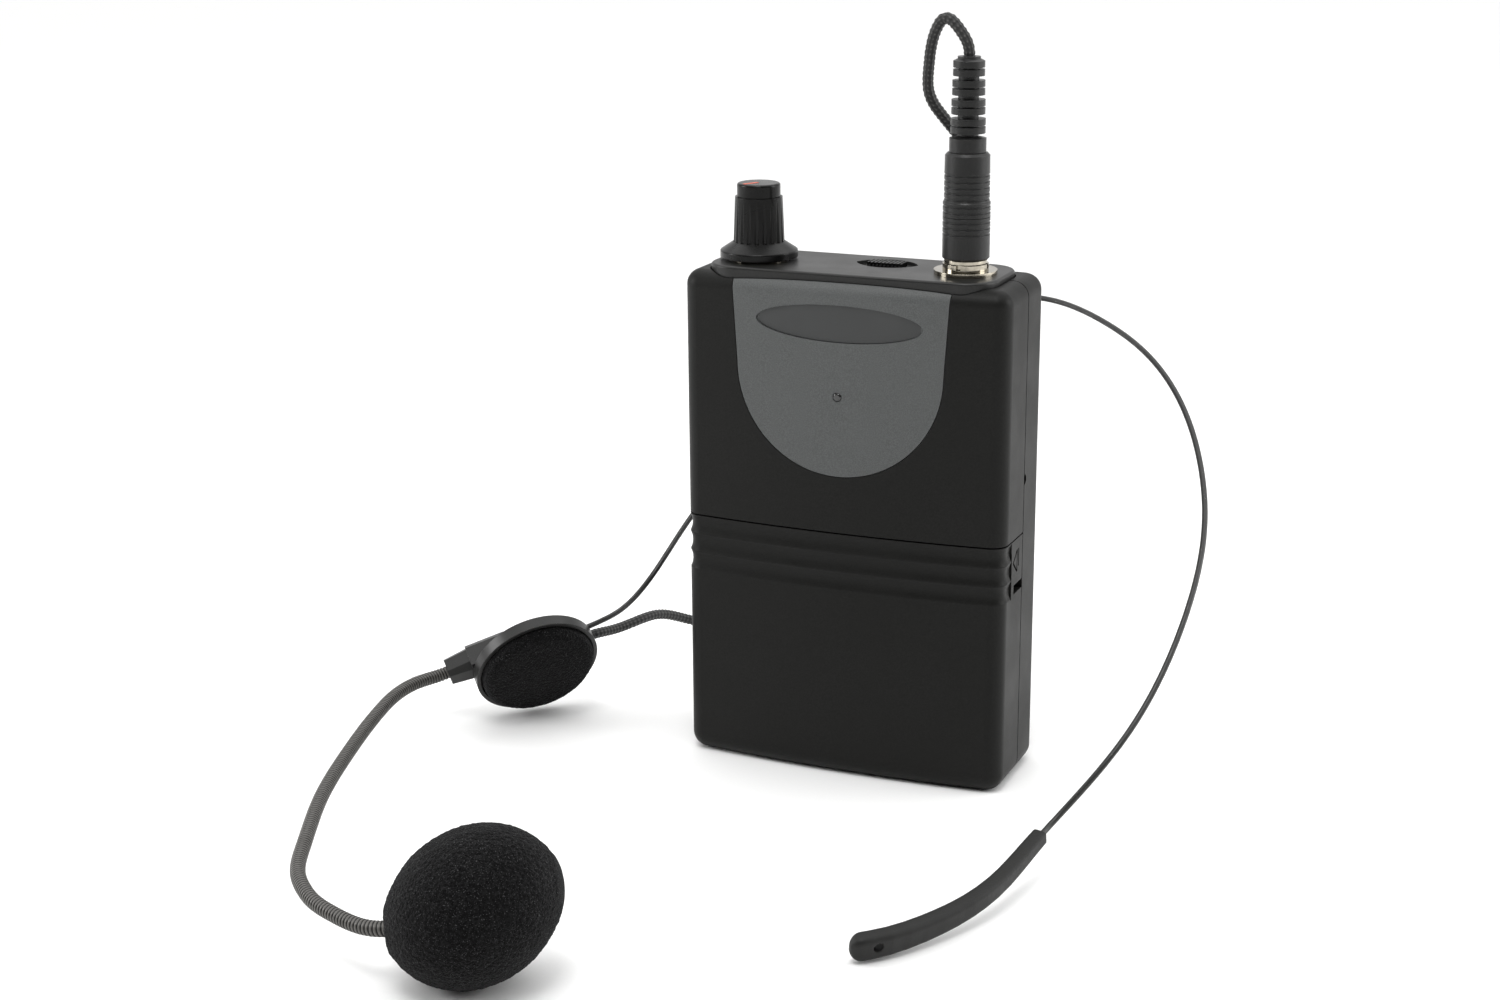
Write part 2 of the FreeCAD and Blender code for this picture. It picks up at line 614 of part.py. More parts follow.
def knob():
    at = ("-control_x", "control_y")
    bore = "shaft_radius + 0.02"
    seat, floor = "cap_radius - 0.6", "grip_top - 0.8"
    profile = ((bore, "skirt_low + 2"), (5.7, "skirt_low + 2"), (5.7, "skirt_low"),
               ("skirt_radius", "skirt_low"), ("skirt_radius", "skirt_high"),
               ("grip_foot_radius", "flute_foot"), ("grip_top_radius", "grip_top"),
               (seat, "grip_top"), (seat, floor), (bore, floor))
    body = turned("knob_turning", profile, *at)
    dress(body, "Fillet", level_at(size("skirt_high")), "0.35")
    groove = sketch_on(body, "XY_Plane", "flute_foot - 0.1")
    circle(groove, "0.42", "grip_foot_radius + 0.12", 0)
    pocket = body.newObject("PartDesign::Pocket", "knob_flute")
    pocket.Profile = groove
    pocket.Reversed = True
    bind(pocket, "Length", "grip_top - flute_foot + 1")
    repeat = body.newObject("PartDesign::PolarPattern", "knob_flutes")
    repeat.Originals = [pocket]
    repeat.Axis = (groove, ["N_Axis"])
    repeat.Angle = 360
    repeat.Occurrences = KNOB_FLUTES
    body.Tip = repeat
    node("knob_body", body)
    plug_radius, plug_floor = "cap_radius - 0.65", "grip_top - 0.7"
    cap = turned("knob_cap_disc", ((0, plug_floor), (plug_radius, plug_floor), (plug_radius, "grip_top"),
                                   ("cap_radius", "grip_top"), ("cap_radius", "cap_top"),
                                   (0, "cap_top")), *at)
    dress(cap, "Fillet", level_at(size("cap_top")), "0.45")
    node("knob_cap", cut("knob_cap_cut", cap, [pointer_bar("pointer_slot", 0.0)]))
    node("knob_pointer", pointer_bar("pointer_bar", POINTER_FIT))


def pointer_bar(name, shrink):
    """The inlaid bar of the knob's cap, from near its centre towards the seven o'clock mark."""
    item = DOC.addObject("Part::Box", name)
    item.Length = POINTER_LENGTH - shrink
    item.Width = POINTER_WIDTH - 2 * shrink
    item.Height = 0.6
    turn = Rotation(Vector(0, 0, 1), POINTER_TURN)
    shift = turn.multVec(Vector(0.2 + shrink / 2, shrink - POINTER_WIDTH / 2, 0))
    item.Placement = Placement(Vector(), turn)
    sunk = 0.56 - shrink / 4
    bind_place(item, f"-control_x + {shift.x:.4f}", f"control_y + {shift.y:.4f}", f"cap_top - {sunk}")
    return item


def slide_switch():
    low, top = "panel_underside - 5", "panel_underside - 1.1"
    case = box("switch_case", ("switch_x - 6", "switch_x + 6"), ("switch_y - 3.2", "switch_y + 3.2"),
               (low, top))
    well = box("switch_well", ("switch_x - 4.2", "switch_x + 4.2"), ("switch_y - 1.9", "switch_y + 1.9"),
               (f"{low} + 0.8", f"{top} + 1"))
    node("switch_body", cut("switch_cut", case, [well]))
    foot = thumb_block("thumb_foot", 1.9, 1.6, f"{low} + 0.9", f"{top} - 0.1")
    stem = thumb_block("thumb_stem", 1.2, 0.95, f"{top} - 0.2", "panel_top - 0.5")
    head = thumb_block("thumb_head", 3.4, 1.7, "panel_top - switch_dish + 0.1", "panel_top + 0.4")
    groove_half, spacing, each_way = 0.2, 0.75, 4
    grooves = [box(f"thumb_groove_{i + each_way}", (f"switch_x + {i * spacing - groove_half:.2f}",
                                                f"switch_x + {i * spacing + groove_half:.2f}"),
                   ("switch_y - 3", "switch_y + 3"), ("panel_top - 0.2", "panel_top + 1"))
               for i in range(-each_way, each_way + 1)]
    node("switch_thumb", cut("thumb_cut", fuse("thumb_solid", [foot, stem, head]), grooves))


def thumb_block(name, half_x, half_y, low, high):
    return box(name, (f"switch_x - {half_x}", f"switch_x + {half_x}"),
               (f"switch_y - {half_y}", f"switch_y + {half_y}"), (low, high))


# ---------------------------------------------------------------- socket and plug

def socket():
    at = ("control_x", "control_y")
    half = "pot_size / 2"
    case = box("socket_case", (f"{at[0]} - {half}", f"{at[0]} + {half}"),
               (f"{at[1]} - {half}", f"{at[1]} + {half}"), ("84.5", "panel_underside - 1.1"))
    bush = cylinder("socket_bush", "socket_bush_radius", "collar_low - 94.1", (*at, "94"))
    bore = cylinder("socket_bore", "pin_radius + 0.06", "30", (*at, "85.5"))
    node("jack_socket", cut("socket_cut", fuse("socket_solid", [case, bush]), [bore]))
    hole = "socket_bush_radius + 0.02"
    low, high = "panel_top + flange_thickness", "collar_low - 0.1"
    node("jack_washer", turned("washer_turning", tube_profile(hole, "flange_radius", "panel_top", low), *at))
    ring = turned("ring_turning", tube_profile(hole, "ring_radius", low, high), *at)
    reach, half_slot = "(ring_radius - 0.2)", 0.45
    slots = [box(f"ring_slot_{i}", (f"control_x + {x} * {reach} - {half_slot}",
                                    f"control_x + {x} * {reach} + {half_slot}"),
                 (f"control_y + {y} * {reach} - {half_slot}", f"control_y + {y} * {reach} + {half_slot}"),
                 (f"{low} + 0.35", f"{high} + 1"))
             for i, (x, y) in enumerate(((1, 0), (0, 1), (-1, 0), (0, -1)))]
    node("jack_ring_nut", cut("ring_cut", ring, slots))


# Heights of the plug pin's tip, and of its two insulating rings.
PIN_TIP, LOWER_RING, UPPER_RING = 86.6, 89.6, 92.6
RING_HEIGHT, RING_FLOOR = 0.8, 1.45
LOCK_BORE, SLEEVE_RADIUS = 2.65, 2.6
RIB_PITCH, RIB_GROOVE, RIB_DEPTH = 1.1, 0.4, 0.22


def plug():
    at = ("control_x", "control_y")
    node("plug_pin", turned("plug_pin_turning", pin_profile(), *at))
    centre = Vector(size("control_x"), size("control_y"), 0)
    rings = []
    for low in (LOWER_RING, UPPER_RING):
        disc = Part.makeCylinder(size("pin_radius"), RING_HEIGHT - 0.04, centre + Vector(0, 0, low + 0.02))
        rings.append(disc.cut(Part.makeCylinder(RING_FLOOR + 0.02, 2, centre + Vector(0, 0, low - 0.5))))
    node("plug_insulators", group("plug_insulator_rings", rings))
    node("plug_lock_ring", turned("lock_turning", lock_profile(), *at))
    bore = size("cable_radius") + size("cable_gap")
    node("plug_barrel", turned("barrel_turning", barrel_profile(bore), *at))
    node("plug_strain_relief", turned("relief_turning", relief_profile(bore), *at))


def pin_profile():
    """A three-contact plug pin below its collar, and the sleeve that the lock ring turns on."""
    pin = "pin_radius"
    corners = [("0", PIN_TIP), (0.9, PIN_TIP), (1.7, PIN_TIP + 1.6), (1.35, PIN_TIP + 2.6)]
    for low in (LOWER_RING, UPPER_RING):
        high = low + RING_HEIGHT
        corners += [(pin, low), (RING_FLOOR, low), (RING_FLOOR, high), (pin, high)]
    corners += [(pin, "collar_low"), ("collar_radius", "collar_low"), ("collar_radius", "lock_low - 0.1"),
                (SLEEVE_RADIUS, "lock_low - 0.1"), (SLEEVE_RADIUS, "lock_high + 1.6"),
                ("0", "lock_high + 1.6")]
    return corners


def ribs(outer, first, count):
    """The (radius, height) corners of evenly spaced square grooves, from the lowest up."""
    corners = []
    for i in range(count):
        start = first + i * RIB_PITCH
        corners += [(outer, start), (outer - RIB_DEPTH, start), (outer - RIB_DEPTH, start + RIB_GROOVE),
                    (outer, start + RIB_GROOVE)]
    return corners


def lock_profile():
    """The locking ring: a plain skirt with three grooves above it."""
    low, high = size("lock_low"), size("lock_high")
    outer = size("barrel_radius") + 0.2
    return ([(LOCK_BORE, low), (outer - 0.3, low), (outer, low + 0.3)] + ribs(outer, high - 3.2, 3)
            + [(outer, high), (LOCK_BORE, high)])


def barrel_profile(bore):
    """The grip: a wide ribbed foot, five more grooves above it and a chamfered top."""
    low, top = size("lock_high") + 0.1, size("barrel_top")
    outer = size("barrel_radius")
    foot, foot_top, inner = outer + 0.2, low + 2.6, LOCK_BORE - 0.03
    corners = [(inner, low), (foot, low)] + ribs(foot, low + 0.7, 2) + [(foot, foot_top)]
    corners += [(outer, foot_top + 0.3)] + ribs(outer, low + 0.7 + 2.2 + 0.2, 5)
    sleeve_top = low + 2.9
    return corners + [(outer - 0.05, top - 0.5), (outer - 0.5, top), (bore, top), (bore, sleeve_top),
                      (inner, sleeve_top)]


def relief_profile(bore):
    """A rubber sleeve of four pairs of discs with necks between them, thinner towards the top."""
    low, top = size("barrel_top"), size("relief_top")
    base, neck, disc, step = 3.4, 1.9, 1.15, 1.5
    corners = [(bore, low + 0.05), (base, low + 0.05), (base, low + 2.6), (neck, low + 3.0)]
    pairs, first = 4, low + 3.5
    pitch = (top - first) / pairs
    for i in range(pairs):
        wide = 3.2 - 0.1 * i
        for foot in (first + i * pitch, first + i * pitch + step):
            corners += [(neck, foot), (wide, foot), (wide, foot + disc), (neck, foot + disc)]
    return corners[:-1] + [(2.1, top - 0.4), (2.1, top), (bore, top)]


# ---------------------------------------------------------------- battery bay

CONTACT_THICKNESS, CONTACT_WIDTH = 0.3, 8.0
CELL_SHIFT = 0.9


def battery_bay():
    end = "tray_half"
    rear = "pack_depth / 2 - wall - 0.4"
    low, high = "cell_low - 8.4", "cell_low + cell_pitch + 9.6"
    block = box("tray_block", (f"-{end}", end), ("-8", rear), (low, high))
    inner = f"{end} - tray_wall"
    hollow = box("tray_hollow", (f"-({inner})", inner), ("-9", "cell_y + cell_radius + 0.3"),
                 (f"{low} + 1", f"{high} - 1.6"))
    relief = box("tray_relief", (f"2.4 - {end}", f"{end} - 2.4"),
                 ("cell_y + cell_radius + 1.7", "pack_depth"), (f"{low} - 1", f"{high} - 1.4"))
    node("battery_tray", cut("tray_cut", block, [hollow, relief]))
    battery_cells()


def battery_cells():
    """Two cells laid head to tail, each between a contact plate and a spring."""
    wall = size("tray_half") - size("tray_wall")
    cells, springs, contacts = [], [], []
    for side, height in ((1, size("cell_low")), (-1, size("cell_low") + size("cell_pitch"))):
        middle = Vector(side * CELL_SHIFT, size("cell_y"), height)
        cells.append(dry_cell(size("cell_length"), size("cell_radius"), middle, side))
        springs.append(cell_spring(middle, side, size("cell_length"), wall - 0.35))
        for x in (wall - CONTACT_THICKNESS, -wall):
            corner = Vector(x, size("cell_y") - CONTACT_WIDTH / 2, height - CONTACT_WIDTH / 2)
            contacts.append(Part.makeBox(CONTACT_THICKNESS, CONTACT_WIDTH, CONTACT_WIDTH, corner))
    node("battery_cells", group("dry_cells", cells))
    node("battery_springs", group("cell_springs", springs))
    node("battery_contacts", group("contact_plates", contacts))


def dry_cell(length, radius, middle, side):
    """A round cell with its raised terminal towards the given side."""
    start = middle - Vector(side * length / 2, 0, 0)
    can = Part.makeCylinder(radius, length - 1.2, start, Vector(side, 0, 0))
    rims = [edge for edge in can.Edges if edge.Closed]
    can = can.makeFillet(0.6, rims)
    nub = Part.makeCylinder(2.6, 2.0, start + Vector(side * (length - 2.0), 0, 0), Vector(side, 0, 0))
    return can.fuse(nub)


def cell_spring(middle, side, length, wall):
    """The bent leaf between the contact plate and the cell's flat end."""
    face = length / 2 - side * middle.x + 0.05
    reach, nose, thick, foot, half_width = 4.5, 0.8, 0.25, 0.4, 2.5
    corners = [Vector(wall, 0, -reach), Vector(face, 0, -nose), Vector(face, 0, nose), Vector(wall, 0, reach),
               Vector(wall, 0, reach - foot), Vector(face + thick, 0, nose - thick),
               Vector(face + thick, 0, thick - nose), Vector(wall, 0, foot - reach)]
    outline = Part.makePolygon(corners + corners[:1])
    leaf = Part.Face(outline).extrude(Vector(0, 2 * half_width, 0))
    leaf.Placement = Placement(Vector(0, middle.y - half_width, middle.z), Rotation())
    if side > 0:
        leaf = leaf.mirror(Vector(0, 0, 0), Vector(1, 0, 0))
    return leaf


# ---------------------------------------------------------------- electronics and screws

# Board parts as (x, z, width, depth, height), seen from the front.
CHIPS = ((9, 60, 6, 1.2, 6), (9, 70, 4.5, 1.4, 3.2), (-3, 53.5, 5, 1.0, 2.2), (-12, 53, 3.2, 1.6, 2.5))
CAPACITOR_X, CAPACITOR_HEIGHTS = 18.5, (62, 68, 74)
CAN_VENTS = [(x, z) for x in (-12, -6, 0) for z in (61, 67)]


def electronics():
    board = box("board_blank", ("-board_half", "board_half"),
                ("board_front", "board_front + board_thickness"), ("board_low", "board_high"))
    holes = [cylinder(f"board_hole_{i}", "1.0", "4", (x, "board_front - 1", z), "Y")
             for i, (x, z) in enumerate(BOARD_SCREWS)]
    node("main_board", cut("board_cut", board, holes))
    can = box("can_block", ("-16", "4"), ("board_front - 3.4", "board_front"), ("57", "71"))
    vents = [cylinder(f"can_vent_{i}", "0.6", "3", (x, "board_front - 4", z), "Y")
             for i, (x, z) in enumerate(CAN_VENTS)]
    node("shield_can", cut("can_cut", can, vents))
    front = size("board_front")
    chips = [Part.makeBox(wide, deep, tall, Vector(x, front - deep, z)) for x, z, wide, deep, tall in CHIPS]
    node("board_chips", group("chip_blocks", chips))
    forward = Vector(0, -1, 0)
    cans = [Part.makeCylinder(2.0, 5.4, Vector(CAPACITOR_X, front, z), forward) for z in CAPACITOR_HEIGHTS]
    node("board_capacitors", group("capacitor_cans", cans))
    node("status_lamp", group("lamp_solid", [lamp_solid(front)]))
    wire = course((Vector(-24.6, 8.4, 87.0), Vector(-24.9, 8.6, 70.0), Vector(-24.6, 8.4, 50.0)))
    node("antenna_wire", group("antenna_rod", [swept(wire, 0.3)]))


def lamp_solid(board_face):
    """A domed lens that reaches through the inlay, a wider bulb behind it and two leads."""
    backward = Vector(0, 1, 0)
    tip = Vector(0, -size("pack_depth") / 2 - 0.15, size("lamp_z"))
    lens_length, bulb_length, lead_radius = 2.6, 4.0, 0.25
    lens = Part.makeCylinder(size("lamp_radius"), lens_length, tip, backward)
    lens = lens.makeFillet(0.4, [edge for edge in lens.Edges if edge.BoundBox.YMax < tip.y + 0.01])
    bulb = Part.makeCylinder(1.5, bulb_length, tip + backward * lens_length, backward)
    back = tip + backward * (lens_length + bulb_length - 0.1)
    leads = [Part.makeCylinder(lead_radius, board_face - back.y, back + Vector(x, 0, 0), backward)
             for x in (-0.7, 0.7)]
    return lens.fuse([bulb] + leads)


def screw(radius, length, head_radius, head_height, point, heading):
    """A pan-head screw with a cross recess; its head's underside is at the point."""
    shank = Part.makeCylinder(radius, length, point, heading)
    head = Part.makeCylinder(head_radius, head_height, point, heading * -1)
    far = point - heading * head_height
    rim = [edge for edge in head.Edges if edge.Closed and (edge.CenterOfMass - far).Length < 0.01]
    head = head.makeFillet(head_height * 0.4, rim)
    seat = axes(far + heading * (head_height * 0.5), Vector(1, 0, 0), heading * -1)
    wing, slot_width = head_radius * 0.65, 0.35
    for turn in (0, 90):
        slot = Part.makeBox(2 * wing, slot_width, head_height, Vector(-wing, -slot_width / 2, 0))
        slot.Placement = seat.multiply(Placement(Vector(), Rotation(Vector(0, 0, 1), turn)))
        head = head.cut(slot)
    return shank.fuse(head)


def screws():
    back = size("pack_depth") / 2
    forward, backward = Vector(0, -1, 0), Vector(0, 1, 0)
    sides = (-1, 1)
    case = [screw(size("case_screw_radius"), 16.5, size("case_screw_head"), 1.1,
                  Vector(side * size("boss_x"), back - 1.5, size(height)), forward)
            for side in sides for height in ("boss_low", "boss_high")]
    node("case_screws", group("case_screw_set", case))
    board = [screw(0.85, 5.4, 1.7, 0.9,
                   Vector(side * size("board_screw_x"), size("board_front"), size(height)), backward)
             for side in sides for height in ("board_screw_low", "board_screw_high")]
    node("board_screws", group("board_screw_set", board))
    clip = [screw(1.25, 6.4, 2.2, 1.2, Vector(0, back + size("clip_thickness"), size(height)), forward)
            for height in CLIP_SCREWS]
    node("clip_screws", group("clip_screw_set", clip))


def belt_clip():
    """A sprung strap: a screwed foot, a bend over the top and a long arm with a flared end."""
    back, thick = "pack_depth / 2", "clip_thickness"
    foot = f"{back} + 0.02"
    gap = f"{back} + clip_gap"
    pinch = f"{back} + 3.2"
    foot_low, arm_bend, pinch_z = "clip_screw_low - 5", "clip_low + 14", "clip_low + 6"
    outline = ((foot, foot_low), (f"{back} + {thick}", foot_low),
               (f"{back} + {thick}", "clip_high - 1.6"), (gap, "clip_high - 1.6"), (gap, arm_bend),
               (pinch, pinch_z), (f"{gap} - 0.4", "clip_low"), (f"{gap} + 1.2", "clip_low"),
               (f"{pinch} + {thick}", pinch_z), (f"{gap} + {thick}", arm_bend),
               (f"{gap} + {thick}", "clip_high"), (foot, "clip_high"))
    body = plate("clip_strap", outline, "-clip_width / 2", "clip_width / 2", "YZ_Plane")
    top, outer = size("clip_high"), size("pack_depth") / 2 + 3
    dress(body, "Fillet", lambda e: e.BoundBox.XLength > 5 and abs(e.BoundBox.ZMax - top) < 0.01
          and e.BoundBox.YMin > outer, "1.4")
    holes = [cylinder(f"clip_hole_{i}", "1.35", "4", (0, back, z), "Y") for i, z in enumerate(CLIP_SCREWS)]
    access = [cylinder(f"clip_access_{i}", "2.6", "6", (0, f"{gap} - 1", z), "Y")
              for i, z in enumerate(CLIP_SCREWS)]
    node("belt_clip", cut("clip_cut", body, holes + access))


# ---------------------------------------------------------------- headset

# Behind the cup: where the wire, the cable and the boom cross the holder (its own Y and Z), and
# how far its block and its snout reach along X.
WIRE_PLACE = (0.0, 1.5)
CABLE_PLACE = (-3.2, 1.5)
BOOM_PLACE = (1.0, 3.1)
HOLDER_BACK, HOLDER_FRONT, SNOUT_END = 4.0, 12.5, 17.5
CUP_CLEAR = -13.0
CUP_BACK = 2.6
FERRULE_DEPTH, FERRULE_SUNK = 4.9, 0.3
ALONG_HOLDER = Vector(1, 0, 0)


def pad_frame():
    return axes(PAD_CENTRE, PAD_ALONG, PAD_FACING)


def holder_frame():
    """Behind the cup: X runs to the boom, Z away from the head."""
    face = Vector(PAD_FACING).normalize()
    turn = Rotation(Vector(0, 0, 1), 180 - HOLDER_TURN)
    flip = Rotation(Vector(1, 0, 0), 180)
    rotation = pad_frame().Rotation.multiply(turn).multiply(flip)
    return Placement(PAD_CENTRE - face * (CUP_BACK + 0.1), rotation)


def in_holder(x, place):
    return holder_frame().multVec(Vector(x, *place))


def holder_heading():
    """The direction of the holder's X axis, from the wire's side to the boom's."""
    return holder_frame().Rotation.multVec(ALONG_HOLDER)


def ear_pad():
    rim, thick = "pad_radius", 0.8
    floor = -1.3
    cup = turned("cup_turning", ((0, -CUP_BACK), (12.0, -CUP_BACK), (rim, -1.9), (rim, 0.5),
                                 (f"{rim} - {thick}", 0.5), (f"{rim} - {thick}", floor), (0, floor)))
    cup.Placement = pad_frame()
    node("pad_cup", cup)
    low, high = floor + 0.05, f"foam_height + {floor + 0.05}"
    foam = turned("foam_turning", ((0, low), ("foam_radius", low), ("foam_radius", f"{high} - 1.0"),
                                   ("foam_radius - 1.0", f"{high} - 0.15"), (0, high)))
    foam.Placement = pad_frame()
    node("pad_foam", foam)


def slab(x_low, x_high, corners):
    outline = Part.makePolygon([Vector(x_low, y, z) for y, z in corners + corners[:1]])
    return Part.Face(outline).extrude(Vector(x_high - x_low, 0, 0))


def holder_solid():
    """The moulded block behind the ear pad, with a tapered, eight-sided snout for the boom."""
    base, top = 0.05, 6.0
    block = slab(HOLDER_BACK, HOLDER_FRONT,
                 [(-4.9, base), (4.5, base), (4.5, 4.6), (3.3, top), (-3.3, top), (-4.9, 4.2)])
    snout = Part.makeLoft([eight_sided(HOLDER_FRONT, 2.85, 1.3), eight_sided(SNOUT_END, 2.3, 0.9)],
                          True, True)
    bores = [holder_bore("ferrule_radius", 0.02, SNOUT_END - FERRULE_DEPTH - 0.1, 6, BOOM_PLACE),
             holder_bore("wire_radius", 0.12, HOLDER_BACK - 1, 9, WIRE_PLACE),
             holder_bore("cable_radius", 0.15, HOLDER_BACK - 1, 7, CABLE_PLACE)]
    return block.fuse(snout).removeSplitter().cut(bores)


def eight_sided(x, half, corner):
    """A square with cut corners, round the boom's place in the holder."""
    y, z = BOOM_PLACE
    flat = half - corner
    ring = [(-flat, -half), (flat, -half), (half, -flat), (half, flat), (flat, half), (-flat, half),
            (-half, flat), (-half, -flat)]
    return Part.makePolygon([Vector(x, y + dy, z + dz) for dy, dz in ring + ring[:1]])


def holder_bore(radius, gap, start, length, place):
    return Part.makeCylinder(size(radius) + gap, length, Vector(start, *place), ALONG_HOLDER)


def boom_holder():
    block = group("holder_solid", [holder_solid()])
    block.Placement = holder_frame()
    node("boom_holder", block)
    inner = size("boom_radius") + 0.15
    base = Vector(SNOUT_END - FERRULE_DEPTH, *BOOM_PLACE)
    tube = Part.makeCylinder(size("ferrule_radius"), FERRULE_DEPTH - FERRULE_SUNK, base, ALONG_HOLDER)
    bore = Part.makeCylinder(inner, 8, base + ALONG_HOLDER * 0.5, ALONG_HOLDER)
    ferrule = group("ferrule_solid", [tube.cut(bore)])
    ferrule.Placement = holder_frame()
    node("boom_ferrule", ferrule)


def capsule_entry():
    return WINDSCREEN_CENTRE - CAPSULE_AXIS * size("capsule_setback")


def boom():
    heading = holder_heading()
    root = in_holder(SNOUT_END - 4.0, BOOM_PLACE)
    points = straight_run(root, heading, 0, 2.5, 5.5) + list(BOOM_COURSE)
    points += straight_run(capsule_entry(), CAPSULE_AXIS, -2.6, 0)
    curve = course(points, heading, CAPSULE_AXIS)
    node("gooseneck", group("gooseneck_rod", [swept(curve, size("boom_radius"))]))
    microphone(capsule_entry(), CAPSULE_AXIS, size("capsule_radius"))


def microphone(entry, axis, radius):
    """A thin cup with a conical tail that grips the boom, and the capsule set in it."""
    length, wall, tail = 9.0, 0.6, 1.9
    housing = Part.makeCylinder(radius, length, entry, axis)
    housing = housing.cut(Part.makeCylinder(radius - wall, length - 1.4, entry + axis * 1.5, axis))
    housing = housing.fuse(Part.makeCone(tail, radius, tail + 0.1, entry - axis * tail, axis))
    housing = housing.cut(Part.makeCylinder(size("boom_radius") + 0.35, 5.2, entry - axis * 4.2, axis))
    node("mic_housing", group("housing_solid", [housing]))
    insert = Part.makeCylinder(radius - wall - 0.05, 4.6, entry + axis * 4.0, axis)
    port = Part.makeCylinder(0.5, 1.0, entry + axis * 7.9, axis)
    node("mic_capsule", group("capsule_solid", [insert.cut(port)]))


def windscreen():
    """An egg of foam pulled over the capsule; its socket fits round the housing."""
    half, radius = size("windscreen_length") / 2, size("windscreen_radius")
    ball = Part.makeSphere(1.0)
    egg = ball.transformGeometry(FreeCAD.Matrix(radius, 0, 0, 0, 0, radius, 0, 0, 0, 0, half, 0, 0, 0, 0, 1))
    egg.Placement = Placement(WINDSCREEN_CENTRE, Rotation(Vector(0, 0, 1), WINDSCREEN_LONG_AXIS))
    mouth = WINDSCREEN_CENTRE - CAPSULE_AXIS * (half + 8)
    socket_bore = Part.makeCylinder(size("capsule_radius") + 0.05, half + 8.3, mouth, CAPSULE_AXIS)
    node("windscreen", group("windscreen_egg", [egg.cut(socket_bore)]))


def tip_curve():
    return course((TIP_START,) + TIP_COURSE)


def band_curve():
    """The headband's arch: it leaves the holder, leans back behind the pack and returns to the tip."""
    leaving = holder_heading() * -1
    inside = in_holder(HOLDER_BACK + 6.0, WIRE_PLACE)
    clear = in_holder(CUP_CLEAR, WIRE_PLACE)
    span = TIP_START - ARCH_START
    across = Vector(span).normalize()
    up = (Vector(0, 0, 1) - across * across.z).normalize()
    back = up.cross(across)
    lean = math.radians(size("band_lean"))
    deep = back * math.cos(lean) + up * math.sin(lean)
    arch = [ARCH_START + span * x + deep * (y * size("band_depth")) for x, y in BAND_OUTLINE]
    into_tip = tip_heading()
    points = straight_run(inside, leaving, 0, 3.5, 8.0, 15.0) + [clear]
    points += list(BAND_LEAVING) + arch
    points += straight_run(TIP_START, into_tip, -2.0, 0, 2.0, WIRE_IN_TIP)
    return course(points, leaving, into_tip)


def headband():
    node("headband_wire", group("band_rod", [swept(band_curve(), size("wire_radius"))]))


WIRE_IN_TIP = 4.0
TIP_SECTIONS = [i / 14 for i in range(14)]
TIP_END_STEPS = (1.0, 0.75, 0.5, 0.3, 0.15, 0.05)


def tip_heading():
    curve = tip_curve()
    return curve.tangent(curve.FirstParameter)[0]


def rounded_section(place, width, height, corner):
    """A rounded rectangle across the placement's Z axis; its width lies along X."""
    x, y = width / 2, height / 2
    ring = [Vector(x, y - corner), Vector(x - corner, y), Vector(corner - x, y), Vector(-x, y - corner),
            Vector(-x, corner - y), Vector(corner - x, -y), Vector(x - corner, -y), Vector(x, corner - y)]
    bulge = corner * math.sqrt(0.5)
    middles = [Vector(sx * (x - corner + bulge), sy * (y - corner + bulge))
               for sx, sy in ((1, 1), (-1, 1), (-1, -1), (1, -1))]
    edges = []
    for i, middle in enumerate(middles):
        start, end = ring[2 * i], ring[2 * i + 1]
        edges.append(Part.Arc(start, middle, end).toShape())
        edges.append(Part.LineSegment(end, ring[(2 * i + 2) % 8]).toShape())
    wire = Part.Wire(edges)
    wire.Placement = place
    return wire


def tip_section(curve, share, scale):
    """The tip's section at a share of its length: it grows taller and rolls over towards its end."""
    parameter = curve.parameterAtDistance(curve.length() * share, curve.FirstParameter)
    heading = curve.tangent(parameter)[0]
    level = heading.cross(Vector(0, 0, 1)).normalize()
    roll = Rotation(Vector(0, 0, 1), -size("tip_end_roll") * share)
    place = Placement(curve.value(parameter), axes(Vector(), level, heading).Rotation.multiply(roll))
    width = size("tip_start_width") + share * (size("tip_end_width") - size("tip_start_width"))
    height = size("tip_start_height") + share * (size("tip_end_height") - size("tip_start_height"))
    corner = size("tip_corner") * (1 + share)
    return rounded_section(place, width * scale, height * scale, corner * scale)


def temple_tip():
    curve = tip_curve()
    length, end_round = curve.length(), size("tip_end_round")
    sections = [tip_section(curve, share, 1.0) for share in TIP_SECTIONS]
    for step in TIP_END_STEPS:
        rounding = math.sqrt(1 - (1 - step) ** 2)
        sections.append(tip_section(curve, 1 - step * end_round / length, rounding))
    bar = Part.makeLoft(sections, True, True)
    hole_at = curve.value(curve.parameterAtDistance(length - 4.6, curve.FirstParameter))
    heading = TIP_COURSE[-1] - TIP_COURSE[-2]
    facing = heading.cross(Vector(0, 0, 1)).normalize()
    hole = Part.makeCylinder(size("tip_hole_radius"), 12, hole_at - facing * 6, facing)
    mouth = TIP_START - tip_heading()
    bore = Part.makeCylinder(size("wire_radius") + 0.12, WIRE_IN_TIP + 1.5, mouth, tip_heading())
    node("temple_tip", group("tip_solid", [bar.cut([hole, bore])]))


def cable():
    base = Vector(size("control_x"), size("control_y"), size("barrel_top") - 8)
    length = size("relief_top") - base.z
    upward = Vector(0, 0, 1)
    entering = holder_heading()
    mouth = in_holder(HOLDER_BACK, CABLE_PLACE)
    points = straight_run(base, upward, 0, length / 3, 2 * length / 3, length) + list(CABLE_COURSE)
    points += [in_holder(CUP_CLEAR, CABLE_PLACE)]
    points += straight_run(mouth, entering, -8.0, -1.5, 2.0, 5.0)
    curve = course(points, upward, entering)
    node("mic_cable", group("cable_rod", [swept(curve, size("cable_radius"))]))


# ---------------------------------------------------------------- build, check and write

